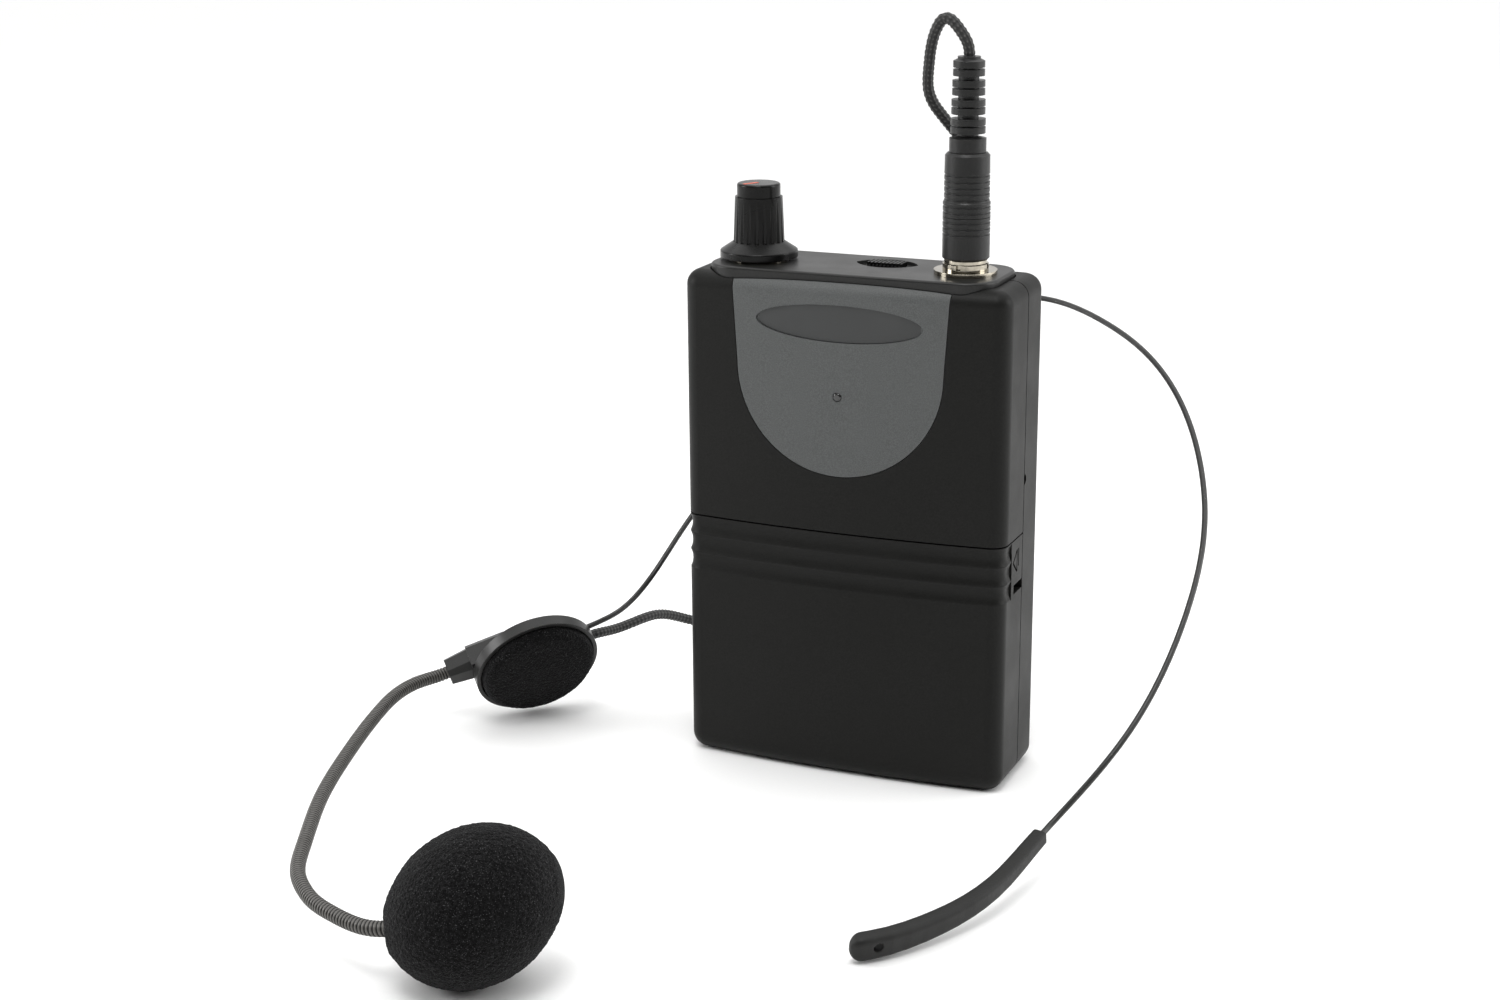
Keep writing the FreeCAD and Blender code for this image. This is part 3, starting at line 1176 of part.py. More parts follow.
def check():
    faults = [item.Name for item in DOC.Objects if {"Invalid", "Error"} & set(item.State)]
    for name, item in NODES.items():
        if item.Shape.isNull() or not item.Shape.isValid() or not item.Shape.Solids:
            faults.append(name)
    if faults:
        raise SystemExit(f"not built: {sorted(set(faults))}")


def main():
    case_shells()
    top_panel()
    volume_control()
    knob()
    slide_switch()
    socket()
    plug()
    battery_bay()
    electronics()
    screws()
    belt_clip()
    ear_pad()
    boom_holder()
    boom()
    windscreen()
    headband()
    temple_tip()
    cable()
    DOC.recompute()
    check()
    os.makedirs("parts", exist_ok=True)
    for name, item in NODES.items():
        item.Shape.exportStep(f"parts/{name}.step")
    print(len(NODES), "sub-parts written")


main()
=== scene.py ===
import json
import math

import bmesh
import bpy
import numpy as np
from mathutils import Matrix, Vector, noise


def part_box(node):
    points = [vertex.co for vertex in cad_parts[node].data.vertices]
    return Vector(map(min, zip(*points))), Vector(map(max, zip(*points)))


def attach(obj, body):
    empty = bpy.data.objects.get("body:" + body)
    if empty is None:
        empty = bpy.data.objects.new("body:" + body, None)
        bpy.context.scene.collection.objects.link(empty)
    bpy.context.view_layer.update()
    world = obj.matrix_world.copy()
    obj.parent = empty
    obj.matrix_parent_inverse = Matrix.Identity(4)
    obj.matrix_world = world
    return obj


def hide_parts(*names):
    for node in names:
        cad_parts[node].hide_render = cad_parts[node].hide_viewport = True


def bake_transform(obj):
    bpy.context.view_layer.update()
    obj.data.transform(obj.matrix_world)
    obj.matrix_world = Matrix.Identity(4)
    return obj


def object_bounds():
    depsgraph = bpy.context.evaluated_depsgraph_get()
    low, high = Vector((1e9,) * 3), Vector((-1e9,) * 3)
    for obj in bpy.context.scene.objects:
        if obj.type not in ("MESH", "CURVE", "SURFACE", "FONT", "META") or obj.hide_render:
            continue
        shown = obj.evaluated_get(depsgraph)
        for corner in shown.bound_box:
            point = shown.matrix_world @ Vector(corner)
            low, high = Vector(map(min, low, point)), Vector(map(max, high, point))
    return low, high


# The looks of a headset microphone and its bodypack transmitter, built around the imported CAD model.
# Metres, in the CAD frame: +X to the pack's right, +Y to its back, +Z up, the ground at z = 0.

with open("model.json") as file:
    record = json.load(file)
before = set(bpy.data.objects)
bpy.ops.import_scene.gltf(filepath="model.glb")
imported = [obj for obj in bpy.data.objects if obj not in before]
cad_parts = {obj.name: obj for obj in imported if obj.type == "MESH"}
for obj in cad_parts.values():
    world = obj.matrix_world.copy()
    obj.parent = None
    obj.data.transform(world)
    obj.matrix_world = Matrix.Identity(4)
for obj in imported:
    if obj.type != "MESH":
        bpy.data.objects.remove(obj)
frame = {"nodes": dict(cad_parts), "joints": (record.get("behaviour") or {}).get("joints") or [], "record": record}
CAD_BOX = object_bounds()

MM = 0.001

# Radii of the round rods that the CAD model draws smooth.
WIRE_RADIUS = 0.55 * MM
BOOM_RADIUS = 1.35 * MM
CABLE_RADIUS = 1.1 * MM


# ------------------------------------------------------------------ node trees

class Shader:
    """A material under construction; its coordinates are metres in the rest frame."""

    def __init__(self, name):
        self.material = bpy.data.materials.new(name)
        self.material.use_nodes = True
        self.tree = self.material.node_tree
        self.surface = self.tree.nodes["Principled BSDF"]
        self.place = self.node("ShaderNodeTexCoord").outputs["Object"]

    def node(self, kind, settings=None, **inputs):
        made = self.tree.nodes.new(kind)
        for prop, value in (settings or {}).items():
            setattr(made, prop, value)
        for key, value in inputs.items():
            self.feed(made.inputs[key.replace("_", " ")], value)
        return made

    def feed(self, socket, value):
        if isinstance(value, bpy.types.NodeSocket):
            self.tree.links.new(value, socket)
        elif isinstance(value, (tuple, list)) and len(value) == 3 and socket.type == "RGBA":
            socket.default_value = (*value, 1.0)
        else:
            socket.default_value = value

    def set(self, **inputs):
        for key, value in inputs.items():
            self.feed(self.surface.inputs[key.replace("_", " ")], value)

    def noise(self, size, detail=2.0, roughness=0.5, distortion=0.0):
        """Cloudy noise whose features measure about the given size."""
        made = self.node("ShaderNodeTexNoise", Vector=self.place, Scale=1.0 / size, Detail=detail,
                         Roughness=roughness, Distortion=distortion)
        return made.outputs["Fac"]

    def cells(self, size, feature="F1"):
        """Distance inside scattered cells of about the given size."""
        made = self.node("ShaderNodeTexVoronoi", {"feature": feature}, Vector=self.place, Scale=1.0 / size)
        return made.outputs["Distance"]

    def ramp(self, source, low, high, low_value=0.0, high_value=1.0):
        made = self.node("ShaderNodeMapRange", {"interpolation_type": "SMOOTHSTEP"}, Value=source,
                         From_Min=low, From_Max=high, To_Min=low_value, To_Max=high_value)
        return made.outputs["Result"]

    def sum(self, first, second, operation="ADD"):
        made = self.tree.nodes.new("ShaderNodeMath")
        made.operation = operation
        self.feed(made.inputs[0], first)
        self.feed(made.inputs[1], second)
        return made.outputs[0]

    def mix(self, share, first, second):
        made = self.tree.nodes.new("ShaderNodeMix")
        made.data_type = "RGBA"
        self.feed(made.inputs[0], share)
        self.feed(made.inputs[6], first)
        self.feed(made.inputs[7], second)
        return made.outputs[2]

    def rounded(self, radius):
        """The normal with the hard edges rounded off, and how near a point is to such an edge."""
        soft = self.node("ShaderNodeBevel", {"samples": 4}, Radius=radius).outputs["Normal"]
        flat = self.node("ShaderNodeNewGeometry").outputs["Normal"]
        dot = self.tree.nodes.new("ShaderNodeVectorMath")
        dot.operation = "DOT_PRODUCT"
        self.feed(dot.inputs[0], soft)
        self.feed(dot.inputs[1], flat)
        return soft, self.ramp(dot.outputs["Value"], 0.999, 0.93)

    def bump(self, height, depth, normal=None):
        made = self.node("ShaderNodeBump", Height=height, Distance=depth, Strength=1.0)
        if normal is not None:
            self.feed(made.inputs["Normal"], normal)
        self.set(Normal=made.outputs["Normal"])

    def attribute(self, name):
        made = self.node("ShaderNodeAttribute", {"attribute_name": name})
        return made.outputs["Fac"]


def shade(colour, factor):
    return tuple(min(1.0, channel * factor) for channel in colour)


def moulded(name, colour, roughness, grain, depth, edge=0.12, worn=1.5, specular=0.5):
    """Moulded plastic: a spark-eroded grain, soft blotches in its gloss and edges rubbed paler."""
    shader = Shader(name)
    normal, near_edge = shader.rounded(edge * MM)
    fine = shader.noise(grain * MM, detail=3.0, roughness=0.65)
    coarse = shader.noise(grain * 6 * MM, detail=2.0)
    blotch = shader.noise(14 * MM, detail=4.0, roughness=0.6)
    rub = shader.sum(near_edge, shader.ramp(shader.noise(1.6 * MM), 0.35, 0.65), "MULTIPLY")
    grained = shader.mix(shader.ramp(fine, 0.35, 0.68), shade(colour, 0.80), shade(colour, 1.22))
    clouded = shader.mix(shader.ramp(blotch, 0.3, 0.7, 0.0, 0.35), grained, shade(colour, 1.12))
    shader.set(Base_Color=shader.mix(rub, clouded, shade(colour, worn)),
               Roughness=shader.ramp(blotch, 0.25, 0.75, roughness - 0.04, roughness + 0.05),
               Specular_IOR_Level=specular)
    shader.bump(shader.sum(fine, shader.sum(coarse, 0.5, "MULTIPLY")), depth * MM, normal)
    return shader.material


def plated(name, colour, roughness, edge=0.08, brushed=0.0):
    """Plated or bare metal with fine turning marks, faint stains and a small rounded edge."""
    shader = Shader(name)
    normal, near_edge = shader.rounded(edge * MM)
    stain = shader.noise(2.2 * MM, detail=5.0, roughness=0.6)
    marks = shader.node("ShaderNodeTexWave", {"wave_type": "BANDS", "bands_direction": "Z"},
                        Vector=shader.place, Scale=1.0 / (0.55 * MM), Distortion=1.5, Detail=2.0)
    shader.set(Base_Color=shader.mix(shader.ramp(stain, 0.35, 0.75), colour, shade(colour, 0.72)),
               Metallic=1.0,
               Roughness=shader.ramp(stain, 0.3, 0.8, roughness, roughness + 0.14))
    height = shader.sum(marks.outputs["Fac"], 0.3 + brushed, "MULTIPLY")
    shader.bump(shader.sum(height, near_edge), 0.004 * MM, normal)
    return shader.material


def rubber(name, colour, roughness, edge=0.15, specular=0.4):
    """Soft moulded rubber with a dusty bloom, fine pits and a painted highlight along its edges."""
    shader = Shader(name)
    normal, near_edge = shader.rounded(edge * MM)
    dust = shader.noise(3.5 * MM, detail=6.0, roughness=0.7)
    pits = shader.cells(0.32 * MM)
    base = shader.mix(shader.ramp(dust, 0.42, 0.75), colour, shade(colour, 1.5))
    # Painted highlight: every edge is paler, standing in for light along the rims.
    shader.set(Base_Color=shader.mix(near_edge, base, shade(colour, 1.7)),
               Roughness=shader.ramp(dust, 0.3, 0.7, roughness, roughness + 0.14),
               Specular_IOR_Level=specular, Sheen_Weight=0.04, Sheen_Roughness=0.6)
    shader.bump(shader.sum(pits, dust), 0.012 * MM, normal)
    return shader.material


def open_foam(name, colour):
    """Open-cell foam: pores kept in the mesh and darkened as painted shade, finer pores in the shader, and strands
    with painted glints.
    """
    shader = Shader(name)
    pores = shader.cells(0.36 * MM)
    fine = shader.cells(0.17 * MM)
    glint_noise = shader.noise(0.20 * MM, detail=1.0)
    strands = shader.ramp(shader.sum(pores, shader.attribute("crest"), "MULTIPLY"), 0.05, 0.55)
    # Painted glints: tiny specks of near-white colour stand in for light catching the strands.
    glint = shader.ramp(glint_noise, 0.655, 0.70)
    patch = shader.noise(5 * MM, detail=3.0)
    # Painted shade in the pores and painted light on the strands: the colour runs from a third of the foam's tone
    # to nearly double.
    base = shader.mix(strands, shade(colour, 0.35), shade(colour, 1.9))
    speckled = shader.mix(shader.sum(glint, 0.7, "MULTIPLY"), base, shade(colour, 22.0))
    shader.set(Base_Color=shader.mix(shader.ramp(patch, 0.3, 0.7, 0.0, 0.3), speckled, shade(colour, 0.7)),
               Roughness=1.0, Specular_IOR_Level=0.08, Sheen_Weight=0.07, Sheen_Roughness=0.5,
               Sheen_Tint=(0.8, 0.8, 0.82))
    shader.bump(shader.sum(pores, fine), 0.10 * MM)
    return shader.material


def crested(name, low, high, roughness, metallic=0.0, sheen=0.0, fibre=0.08):
    """A wound or braided surface: its crests, kept in the mesh, are paler than its grooves, where the dark colour
    is painted shade.
    """
    shader = Shader(name)
    crest = shader.attribute("crest")
    thread = shader.noise(fibre * MM, detail=2.0)
    blotch = shader.noise(6 * MM, detail=3.0)
    # Painted shade: the low colour, near black, fills the grooves; the high colour is the crests' own tone.
    level = shader.sum(shader.ramp(crest, 0.62, 1.0), shader.ramp(thread, 0.2, 0.8, 0.75, 1.1), "MULTIPLY")
    shader.set(Base_Color=shader.mix(level, low, high), Metallic=metallic,
               Roughness=shader.ramp(blotch, 0.3, 0.7, roughness - 0.06, roughness + 0.08),
               Sheen_Weight=sheen)
    shader.bump(thread, 0.02 * MM)
    return shader.material


def coated_wire(name, colour):
    """Spring wire under thin black paint with tiny bare scratches along it."""
    shader = Shader(name)
    blotch = shader.noise(1.2 * MM, detail=4.0)
    scratch = shader.ramp(shader.noise(0.35 * MM, detail=2.0, distortion=2.0), 0.70, 0.76)
    shader.set(Base_Color=shader.mix(scratch, colour, (0.30, 0.29, 0.27)),
               Metallic=shader.sum(scratch, 0.8, "MULTIPLY"),
               Roughness=shader.ramp(blotch, 0.3, 0.7, 0.34, 0.5))
    shader.bump(blotch, 0.01 * MM)
    return shader.material


def satin_label(name, colour):
    """The blank oval: a satin film over the recess, a little smoother than the panel round it."""
    shader = Shader(name)
    haze = shader.noise(9 * MM, detail=4.0)
    dust = shader.ramp(shader.noise(0.25 * MM, detail=2.0), 0.72, 0.8)
    shader.set(Base_Color=shader.mix(shader.sum(dust, 0.5, "MULTIPLY"), colour, shade(colour, 2.0)),
               Roughness=shader.ramp(haze, 0.3, 0.7, 0.30, 0.42), Coat_Weight=0.12, Coat_Roughness=0.20)
    shader.bump(haze, 0.02 * MM)
    return shader.material


def lens(name, colour):
    """A smoked plastic lens, glossy over a dark core."""
    shader = Shader(name)
    core = shader.noise(0.8 * MM, detail=2.0)
    shader.set(Base_Color=shader.mix(shader.ramp(core, 0.3, 0.7), colour, shade(colour, 1.6)),
               Roughness=0.12, Coat_Weight=0.6, Coat_Roughness=0.05)
    shader.bump(core, 0.005 * MM)
    return shader.material


def circuit_board(name):
    """Green solder mask over faint straight traces."""
    shader = Shader(name)
    traces = shader.node("ShaderNodeTexBrick", Vector=shader.place, Scale=1.0 / (9 * MM),
                         Color1=(0.02, 0.15, 0.06), Color2=(0.015, 0.11, 0.05), Mortar=(0.05, 0.24, 0.10),
                         Mortar_Size=0.03)
    weave = shader.noise(0.5 * MM, detail=3.0)
    shader.set(Base_Color=traces.outputs["Color"], Roughness=shader.ramp(weave, 0.3, 0.7, 0.22, 0.36),
               Coat_Weight=0.4)
    shader.bump(shader.sum(traces.outputs["Fac"], weave), 0.03 * MM)
    return shader.material


def build_materials():
    nickel = (0.43, 0.395, 0.325)
    return {
        "case_black": moulded("case_black_abs", (0.0068, 0.0068, 0.0062), 0.46, 0.34, 0.016, specular=0.15),
        "panel_grey": moulded("panel_grey_abs", (0.076, 0.0795, 0.079), 0.50, 0.20, 0.011, worn=1.25,
                              specular=0.28),
        "panel_black": moulded("panel_black_satin", (0.011, 0.011, 0.0105), 0.38, 0.30, 0.010, specular=0.35),
        "label_blank": satin_label("label_satin_film", (0.019, 0.0205, 0.0205)),
        "lamp_lens": lens("lamp_smoked_lens", (0.003, 0.003, 0.003)),
        "knob_black": moulded("knob_black_satin", (0.0034, 0.0034, 0.0032), 0.26, 0.26, 0.006, edge=0.16,
                              specular=0.20),
        "pointer_red": moulded("pointer_red_paint", (0.62, 0.085, 0.035), 0.38, 0.25, 0.006, worn=1.1),
        "nickel": plated("bright_nickel", nickel, 0.08),
        "machine_steel": plated("zinc_plated_steel", (0.46, 0.46, 0.48), 0.32, brushed=0.5),
        "component_black": moulded("component_black", (0.014, 0.014, 0.015), 0.45, 0.22, 0.008),
        "board_green": circuit_board("board_solder_mask"),
        "capacitor_can": plated("capacitor_aluminium", (0.60, 0.61, 0.64), 0.30, brushed=0.4),
        "cell_jacket": moulded("cell_jacket", (0.07, 0.09, 0.14), 0.30, 0.5, 0.004, worn=1.2),
        "plug_rubber": rubber("plug_moulded_rubber", (0.0048, 0.0048, 0.0046), 0.30, specular=0.34),
        "tip_rubber": rubber("tip_soft_rubber", (0.0082, 0.0082, 0.0077), 0.50, specular=0.24),
        "headset_plastic": moulded("headset_satin_black", (0.013, 0.0130, 0.0125), 0.36, 0.22, 0.008,
                                   edge=0.2, worn=1.5, specular=0.36),
        "foam": open_foam("open_cell_foam", (0.0046, 0.0046, 0.0047)),
        # The braid's and the gooseneck's first colour is painted shade in their grooves.
        "cable_braid": crested("braided_sleeve", (0.0008, 0.0008, 0.0008), (0.066, 0.064, 0.060), 0.56,
                               sheen=0.08),
        "gooseneck": crested("wound_gooseneck", (0.0008, 0.0008, 0.0007), (0.105, 0.100, 0.092), 0.42,
                             metallic=0.3),
        "wire_black": coated_wire("coated_spring_wire", (0.014, 0.014, 0.0135)),
        "capsule_metal": plated("capsule_can", (0.58, 0.58, 0.57), 0.28),
    }


def dress_cad_nodes(materials):
    for part in frame["record"]["subparts"]:
        mesh = frame["nodes"][part["node"]].data
        mesh.materials.clear()
        mesh.materials.append(materials[part["material_slot"]])


# ------------------------------------------------------------------ lines out of round rods

def centreline(node, radius, start_near, step):
    """The middle line of a round rod's CAD mesh, from its end nearest a point, in even steps."""
    mesh = frame["nodes"][node].data
    corners = np.empty(len(mesh.loops), int)
    mesh.loops.foreach_get("vertex_index", corners)
    places = np.empty(len(mesh.vertices) * 3)
    mesh.vertices.foreach_get("co", places)
    places = places.reshape(-1, 3)[corners]
    normals = np.empty(len(mesh.loops) * 3)
    mesh.corner_normals.foreach_get("vector", normals)
    normals = normals.reshape(-1, 3, 3)
    turned = np.einsum("ij,ij->i", normals[:, 0], normals[:, 1]) < 0.99999
    turned |= np.einsum("ij,ij->i", normals[:, 0], normals[:, 2]) < 0.99999
    middles = (places.reshape(-1, 3, 3) - radius * normals)[turned]
    keys, ids = np.unique(np.round(middles.reshape(-1, 3) / (0.2 * MM)), axis=0, return_inverse=True)
    ids = ids.reshape(-1, 3)
    centres = np.zeros((len(keys), 3))
    np.add.at(centres, ids.ravel(), middles.reshape(-1, 3))
    centres /= np.bincount(ids.ravel())[:, None]
    links = {i: set() for i in range(len(keys))}
    for a, b in np.concatenate([ids[:, [0, 1]], ids[:, [1, 2]], ids[:, [2, 0]]]):
        links[a].add(b)
        links[b].add(a)
    first = int(np.argmin(np.linalg.norm(centres - np.array(start_near), axis=1)))
    first = int(np.argmax(walk(centres, links, int(np.argmax(walk(centres, links, first))))))
    ends = (first, int(np.argmax(walk(centres, links, first))))
    start = min(ends, key=lambda i: np.linalg.norm(centres[i] - np.array(start_near)))
    distance = walk(centres, links, start)
    return resample(centres, distance, step)


def walk(centres, links, start):
    """How far each centre is from the start, along the rod."""
    distance = np.full(len(centres), np.inf)
    distance[start] = 0.0
    waiting = [start]
    while waiting:
        following = []
        for i in waiting:
            for j in links[i]:
                far = distance[i] + np.linalg.norm(centres[i] - centres[j])
                if far < distance[j] - 1e-9:
                    distance[j] = far
                    following.append(j)
        waiting = following
    distance[np.isinf(distance)] = -1.0
    return distance


def resample(centres, distance, step):
    """Average the centres in short bins along the rod, then draw a smooth line through them."""
    bins = np.round(distance / (0.6 * MM)).astype(int)
    used = np.unique(bins[bins >= 0])
    knots = np.array([centres[bins == i].mean(0) for i in used])
    for _ in range(2):
        knots[1:-1] = 0.25 * knots[:-2] + 0.5 * knots[1:-1] + 0.25 * knots[2:]
    along = np.concatenate([[0], np.cumsum(np.linalg.norm(np.diff(knots, axis=0), axis=1))])
    slopes = np.gradient(knots, along, axis=0)
    at = np.arange(0, along[-1], step)
    i = np.clip(np.searchsorted(along, at, side="right") - 1, 0, len(along) - 2)
    gap = (along[i + 1] - along[i])[:, None]
    t = (at - along[i])[:, None] / gap
    return ((2 * t**3 - 3 * t**2 + 1) * knots[i] + (t**3 - 2 * t**2 + t) * gap * slopes[i]
            + (3 * t**2 - 2 * t**3) * knots[i + 1] + (t**3 - t**2) * gap * slopes[i + 1])


def sweep(name, line, sides, surface):
    """Rings along a line; surface(distance, angle) gives each point's radius and its crest, 0 to 1."""
    tangents = np.gradient(line, axis=0)
    tangents /= np.linalg.norm(tangents, axis=1)[:, None]
    across = np.empty_like(line)
    guide = np.cross(tangents[0], (0.3, 0.5, 0.8))
    for i, tangent in enumerate(tangents):
        guide = guide - tangent * (guide @ tangent)
        guide /= np.linalg.norm(guide)
        across[i] = guide
    sideways = np.cross(tangents, across)
    along = np.concatenate([[0], np.cumsum(np.linalg.norm(np.diff(line, axis=0), axis=1))])
    angles = np.arange(sides) * 2 * math.pi / sides
    radius, crest = surface(along[:, None], angles[None, :])
    ring = (np.cos(angles)[None, :, None] * across[:, None]
            + np.sin(angles)[None, :, None] * sideways[:, None])
    points = (line[:, None] + radius[:, :, None] * ring).reshape(-1, 3)
    rows, turn = np.arange(len(line) - 1)[:, None] * sides, np.arange(sides)[None, :]
    after = (turn + 1) % sides
    quads = np.stack([rows + turn, rows + after, rows + sides + after, rows + sides + turn], -1)
    mesh = bpy.data.meshes.new(name)
    last = (len(line) - 1) * sides
    caps = [list(range(sides))[::-1], list(range(last, last + sides))]
    mesh.from_pydata(points.tolist(), [], quads.reshape(-1, 4).tolist() + caps)
    mesh.polygons.foreach_set("use_smooth", [True] * (len(mesh.polygons) - 2) + [False, False])
    mesh.attributes.new("crest", "FLOAT", "POINT").data.foreach_set("value", crest.astype(np.float32).ravel())
    return place(name, mesh)


def place(name, mesh):
    piece = bpy.data.objects.new(name, mesh)
    bpy.context.scene.collection.objects.link(piece)
    return piece


def finish_piece(piece, material, slot, *nodes):
    piece.data.materials.clear()
    piece.data.materials.append(material)
    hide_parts(*nodes)
    return piece


def middle_of(node):
    low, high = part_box(node)
    return (low + high) / 2


def joint(name):
    return next(j for j in frame["joints"] if j["name"] == name)


# ------------------------------------------------------------------ wire, boom and cable

def headband(materials):
    """The coated spring wire, which runs over its crown between the ear pad and the temple tip."""
    line = centreline("headband_wire", WIRE_RADIUS, middle_of("pad_cup"), 0.5 * MM)

    def surface(distance, angle):
        dent = 0.004 * MM * np.sin(distance / (3.1 * MM)) * np.cos(angle + distance / (2.3 * MM))
        return WIRE_RADIUS + dent, np.ones_like(dent)

    piece = sweep("headband_spring_wire", line, 20, surface)
    finish_piece(piece, materials["wire_black"], "wire_black", "headband_wire")
    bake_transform(piece)


def gooseneck(materials):
    """The boom's wound steel spring: one rounded turn after another."""
    pitch, groove = 0.76 * MM, 0.30 * MM
    line = centreline("gooseneck", BOOM_RADIUS, middle_of("boom_holder"), pitch / 9)

    def surface(distance, angle):
        turn = distance / pitch - angle / (2 * math.pi)
        from_crest = 2 * (turn - np.round(turn))
        crest = np.sqrt(np.clip(1 - from_crest**2, 0, 1))
        return BOOM_RADIUS - groove * (1 - crest), crest

    piece = sweep("gooseneck_winding", line, 28, surface)
    finish_piece(piece, materials["gooseneck"], "wire_black", "gooseneck")
    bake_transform(piece)


def cable(materials):
    """The braided cable: strands wound both ways, which rise where they cross over."""
    strands, repeat, depth = 5, 2.0 * MM, 0.22 * MM
    line = centreline("mic_cable", CABLE_RADIUS, middle_of("plug_barrel"), 0.16 * MM)

    def surface(distance, angle):
        slant = 2 * math.pi * distance / repeat
        weave = 0.5 + 0.5 * np.cos(strands * angle + slant) * np.cos(strands * angle - slant)
        return CABLE_RADIUS - depth * (1 - weave), weave

    piece = sweep("cable_braid", line, 48, surface)
    finish_piece(piece, materials["cable_braid"], "cable_braid", "mic_cable")
    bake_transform(piece)


# ------------------------------------------------------------------ foam and rubber

def skin_of(node, name, voxel):
    """A fresh even mesh over a CAD node's solid."""
    mesh = frame["nodes"][node].data.copy()
    piece = place(name, mesh)
    body = bmesh.new()
    body.from_mesh(mesh)
    bmesh.ops.remove_doubles(body, verts=body.verts, dist=1e-6)
    body.to_mesh(mesh)
    body.free()
    remesh = piece.modifiers.new("even", "REMESH")
    remesh.mode = "VOXEL"
    remesh.voxel_size = voxel
    apply_modifiers(piece)
    return piece


def apply_modifiers(piece):
    bpy.context.view_layer.update()
    settled = bpy.data.meshes.new_from_object(piece.evaluated_get(bpy.context.evaluated_depsgraph_get()))
    piece.modifiers.clear()
    old = piece.data
    piece.data = settled
    bpy.data.meshes.remove(old)
    settled.polygons.foreach_set("use_smooth", [True] * len(settled.polygons))


def positions(mesh):
    flat = np.empty(len(mesh.vertices) * 3)
    mesh.vertices.foreach_get("co", flat)
    return flat.reshape(-1, 3)


def vertex_normals(mesh):
    normals = np.empty(len(mesh.vertices) * 3)
    mesh.vertex_normals.foreach_get("vector", normals)
    return normals.reshape(-1, 3)


def put_positions(mesh, points):
    mesh.vertices.foreach_set("co", points.ravel())
    mesh.update()


SIM_SCALE = 20.0


# Cloth steps, the pressure inside the foam, and how far its skin may travel.
SIM_STEPS = 18
FOAM_PRESSURE = 900.0
FOAM_CAP = 0.7 * MM


def swell(piece, pressure, cap, pinned):
    """Blow the foam up from half the cap smaller, in a larger scale where cloth is stable."""
    mesh = piece.data
    rest = positions(mesh)
    held = pinned(rest)
    start = rest - vertex_normals(mesh) * (0.5 * cap * ~held)[:, None]
    middle = start.mean(0)
    put_positions(mesh, (start - middle) * SIM_SCALE)
    group = piece.vertex_groups.new(name="held")
    for i in np.flatnonzero(held):
        group.add([int(i)], 1.0, "REPLACE")
    cloth = piece.modifiers.new("swell", "CLOTH")
    cloth.settings.use_pressure = True
    cloth.settings.uniform_pressure_force = pressure
    cloth.settings.effector_weights.gravity = 0
    cloth.settings.vertex_group_mass = group.name
    cloth.settings.tension_stiffness = 30
    cloth.settings.bending_stiffness = 8
    scene = bpy.context.scene
    for step in range(1, SIM_STEPS + 1):
        scene.frame_set(step)
    moved = np.array([v.co for v in piece.evaluated_get(bpy.context.evaluated_depsgraph_get()).data.vertices])
    piece.modifiers.clear()
    piece.vertex_groups.clear()
    scene.frame_set(1)
    shift = moved / SIM_SCALE + middle - start
    length = np.linalg.norm(shift, axis=1)[:, None]
    shift *= np.minimum(1.0, cap / np.maximum(length, 1e-9))
    put_positions(mesh, start + shift)


def crown(piece, middle, outward, radius, rise):
    """Raise the free face of a disc into a low dome that runs out at its rim."""
    mesh = piece.data
    points = positions(mesh)
    height = (points - middle) @ outward
    across = np.linalg.norm(points - middle - np.outer(height, outward), axis=1) / radius
    share = (height - height.min()) / (height.max() - height.min())
    lift = rise * np.clip(1.0 - across ** 2, 0.0, 1.0) * share
    put_positions(mesh, points + np.outer(lift, outward))


def subdivide(piece, levels=1):
    finer = piece.modifiers.new("finer", "SUBSURF")
    finer.levels = levels
    apply_modifiers(piece)


def pore_surface(piece, cell, depth, calm):
    """Press the foam's pores into its mesh, with slow unevenness under them; crest marks the strands."""
    mesh = piece.data
    points = positions(mesh)
    normals = vertex_normals(mesh)
    pores = np.array([noise.voronoi(Vector(p / cell))[0][0] for p in points])
    slow = np.array([noise.noise(Vector(p / (7 * MM))) for p in points])
    height = (depth * (pores - 0.5) + 0.16 * MM * slow) * calm(points)
    put_positions(mesh, points + normals * height[:, None])
    crest = mesh.attributes.new("crest", "FLOAT", "POINT")
    crest.data.foreach_set("value", pores.astype(np.float32))


def windscreen(materials):
    """The foam egg over the capsule; its neck is drawn in round the boom."""
    piece = skin_of("windscreen", "windscreen_foam", 0.45 * MM)
    axis = np.array(joint("windscreen_pull")["axis"])
    entry = np.array(middle_of("mic_housing")) - axis * (5 * MM)

    def near_bore(points):
        away = points - entry
        radial = away - np.outer(away @ axis, axis)
        return np.linalg.norm(radial, axis=1) < 4.2 * MM

    soften(piece, 5)
    swell(piece, FOAM_PRESSURE, FOAM_CAP, near_bore)
    subdivide(piece)
    pore_surface(piece, 0.60 * MM, 0.26 * MM, lambda points: 1.0 - 0.8 * near_bore(points))
    finish_piece(piece, materials["foam"], "foam", "windscreen")
    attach(piece, "foam_screen")


PAD_DOME_RADIUS, PAD_DOME_RISE = 11.9 * MM, 0.6 * MM


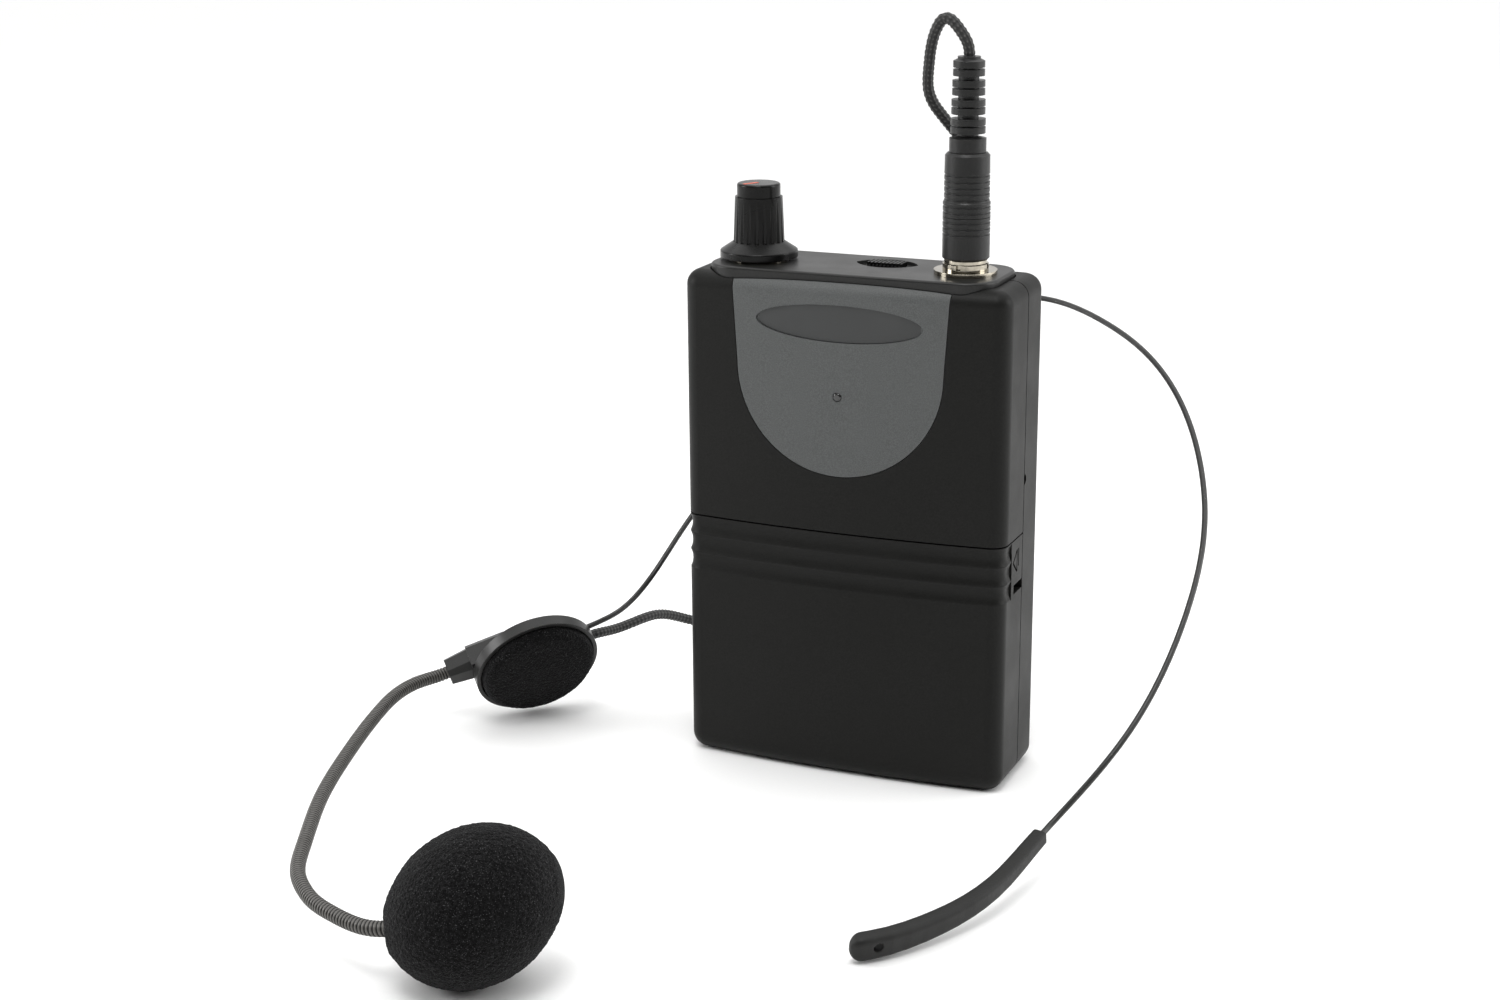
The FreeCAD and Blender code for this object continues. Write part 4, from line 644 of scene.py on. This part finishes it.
def ear_pad(materials):
    """The foam disc in the ear pad's cup: crowned, with a soft rolled edge."""
    piece = skin_of("pad_foam", "ear_pad_foam", 0.35 * MM)
    cup, foam = middle_of("pad_cup"), middle_of("pad_foam")
    outward = np.array((foam - cup).normalized())
    bottom = ((positions(piece.data) - np.array(cup)) @ outward).min()

    def seated(points):
        return (points - np.array(cup)) @ outward < bottom + 0.8 * MM

    soften(piece, 12)
    crown(piece, np.array(foam), outward, PAD_DOME_RADIUS, PAD_DOME_RISE)
    subdivide(piece)
    pore_surface(piece, 0.5 * MM, 0.16 * MM, lambda points: 1.0 - 0.7 * seated(points))
    finish_piece(piece, materials["foam"], "foam", "pad_foam")
    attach(piece, "headset")


def soften(piece, rounds):
    smooth = piece.modifiers.new("soft", "SMOOTH")
    smooth.iterations = rounds
    smooth.factor = 0.5
    apply_modifiers(piece)


def temple_tip(materials):
    """The rubber sleeve on the band's end, with its edges moulded round."""
    piece = skin_of("temple_tip", "temple_tip_sleeve", 0.17 * MM)
    soften(piece, 3)
    finish_piece(piece, materials["tip_rubber"], "tip_rubber", "temple_tip")
    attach(piece, "temple")


# ------------------------------------------------------------------ studio

# How bright the surroundings are, as a share of white: dim in front of the object, bright behind it.
SKY_FRONT, SKY_BACK = 0.06, 0.90
OVERHEAD_STRENGTH = 2.1


def studio():
    """A pale floor that runs to a pale horizon, under large soft lights."""
    low, high = CAD_BOX
    middle = (Vector(low) + Vector(high)) / 2
    bpy.ops.mesh.primitive_grid_add(x_subdivisions=2, y_subdivisions=2, size=16.0,
                                    location=(middle.x, middle.y, min(low[2], 0.0) - 0.05 * MM))
    floor = bpy.context.object
    floor.name = "studio_floor"
    shader = Shader("studio_floor_paper")
    grain = shader.noise(0.6 * MM, detail=3.0)
    shader.set(Base_Color=shader.mix(grain, (0.86, 0.86, 0.855), (0.90, 0.90, 0.895)), Roughness=0.75)
    floor.data.materials.append(shader.material)
    surroundings()
    overhead()
    softbox("right_side", middle + Vector((0.75, 0.30, 0.25)), middle, 0.4, 2.5)
    softbox("front_left", middle + Vector((-0.60, -0.22, 0.20)), middle, 0.25, 2.0)
    softbox("front_top", middle + Vector((0.05, -0.30, 0.65)), middle, 0.28, 2.2)


def surroundings():
    """White to the camera, but dimmer in front than behind where it lights the object."""
    world = bpy.data.worlds.new("studio_world")
    bpy.context.scene.world = world
    world.use_nodes = True
    tree = world.node_tree
    heading = tree.nodes.new("ShaderNodeSeparateXYZ")
    tree.links.new(tree.nodes.new("ShaderNodeTexCoord").outputs["Generated"], heading.inputs[0])
    level = tree.nodes.new("ShaderNodeMapRange")
    level.interpolation_type = "SMOOTHSTEP"
    for key, value in {"From Min": -0.5, "From Max": 0.6, "To Min": SKY_FRONT, "To Max": SKY_BACK}.items():
        level.inputs[key].default_value = value
    tree.links.new(heading.outputs["Y"], level.inputs["Value"])
    seen = tree.nodes.new("ShaderNodeMath")
    seen.operation = "MAXIMUM"
    tree.links.new(level.outputs["Result"], seen.inputs[0])
    tree.links.new(tree.nodes.new("ShaderNodeLightPath").outputs["Is Camera Ray"], seen.inputs[1])
    tree.links.new(seen.outputs[0], tree.nodes["Background"].inputs["Strength"])
    tree.nodes["Background"].inputs["Color"].default_value = (1.0, 1.0, 1.0, 1.0)


def overhead():
    """A very wide soft light straight above, which whitens the floor out to the horizon."""
    light = bpy.data.lights.new("overhead", "SUN")
    light.energy = OVERHEAD_STRENGTH
    light.angle = math.radians(100)
    bpy.context.scene.collection.objects.link(bpy.data.objects.new("overhead", light))


def softbox(name, place_at, aim, width, power):
    light = bpy.data.lights.new(name, "AREA")
    light.shape = "SQUARE"
    light.size = width
    light.energy = power
    lamp = bpy.data.objects.new(name, light)
    lamp.location = place_at
    lamp.rotation_euler = (Vector(aim) - Vector(place_at)).to_track_quat("-Z", "Y").to_euler()
    bpy.context.scene.collection.objects.link(lamp)


# The camera's place is taken from the middle of the pack's top front edge.
CAMERA_OFFSET = Vector((159.1, -404.2, 84.6)) * MM
VIEW_AZIMUTH = math.radians(23.65)
VIEW_FALL = math.radians(16.20)
VIEW_ROLL = math.radians(-0.446)
LENS = 57.35


def camera():
    """The camera looks down on the pack's front from its right."""
    low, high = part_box("front_shell")
    edge = Vector(((low.x + high.x) / 2, low.y, high.z))
    data = bpy.data.cameras.new("view")
    data.lens = LENS
    data.sensor_width = 36.0
    data.clip_start = 0.01
    item = bpy.data.objects.new("view", data)
    turn = Matrix.Rotation(VIEW_AZIMUTH, 4, "Z") @ Matrix.Rotation(math.pi / 2 - VIEW_FALL, 4, "X")
    item.matrix_world = Matrix.Translation(edge + CAMERA_OFFSET) @ turn @ Matrix.Rotation(VIEW_ROLL, 4, "Z")
    bpy.context.scene.collection.objects.link(item)
    bpy.context.scene.camera = item
    bpy.context.scene.view_settings.view_transform = "Standard"


# ------------------------------------------------------------------ build

materials = build_materials()
dress_cad_nodes(materials)
headband(materials)
gooseneck(materials)
cable(materials)
windscreen(materials)
ear_pad(materials)
temple_tip(materials)
studio()
camera()
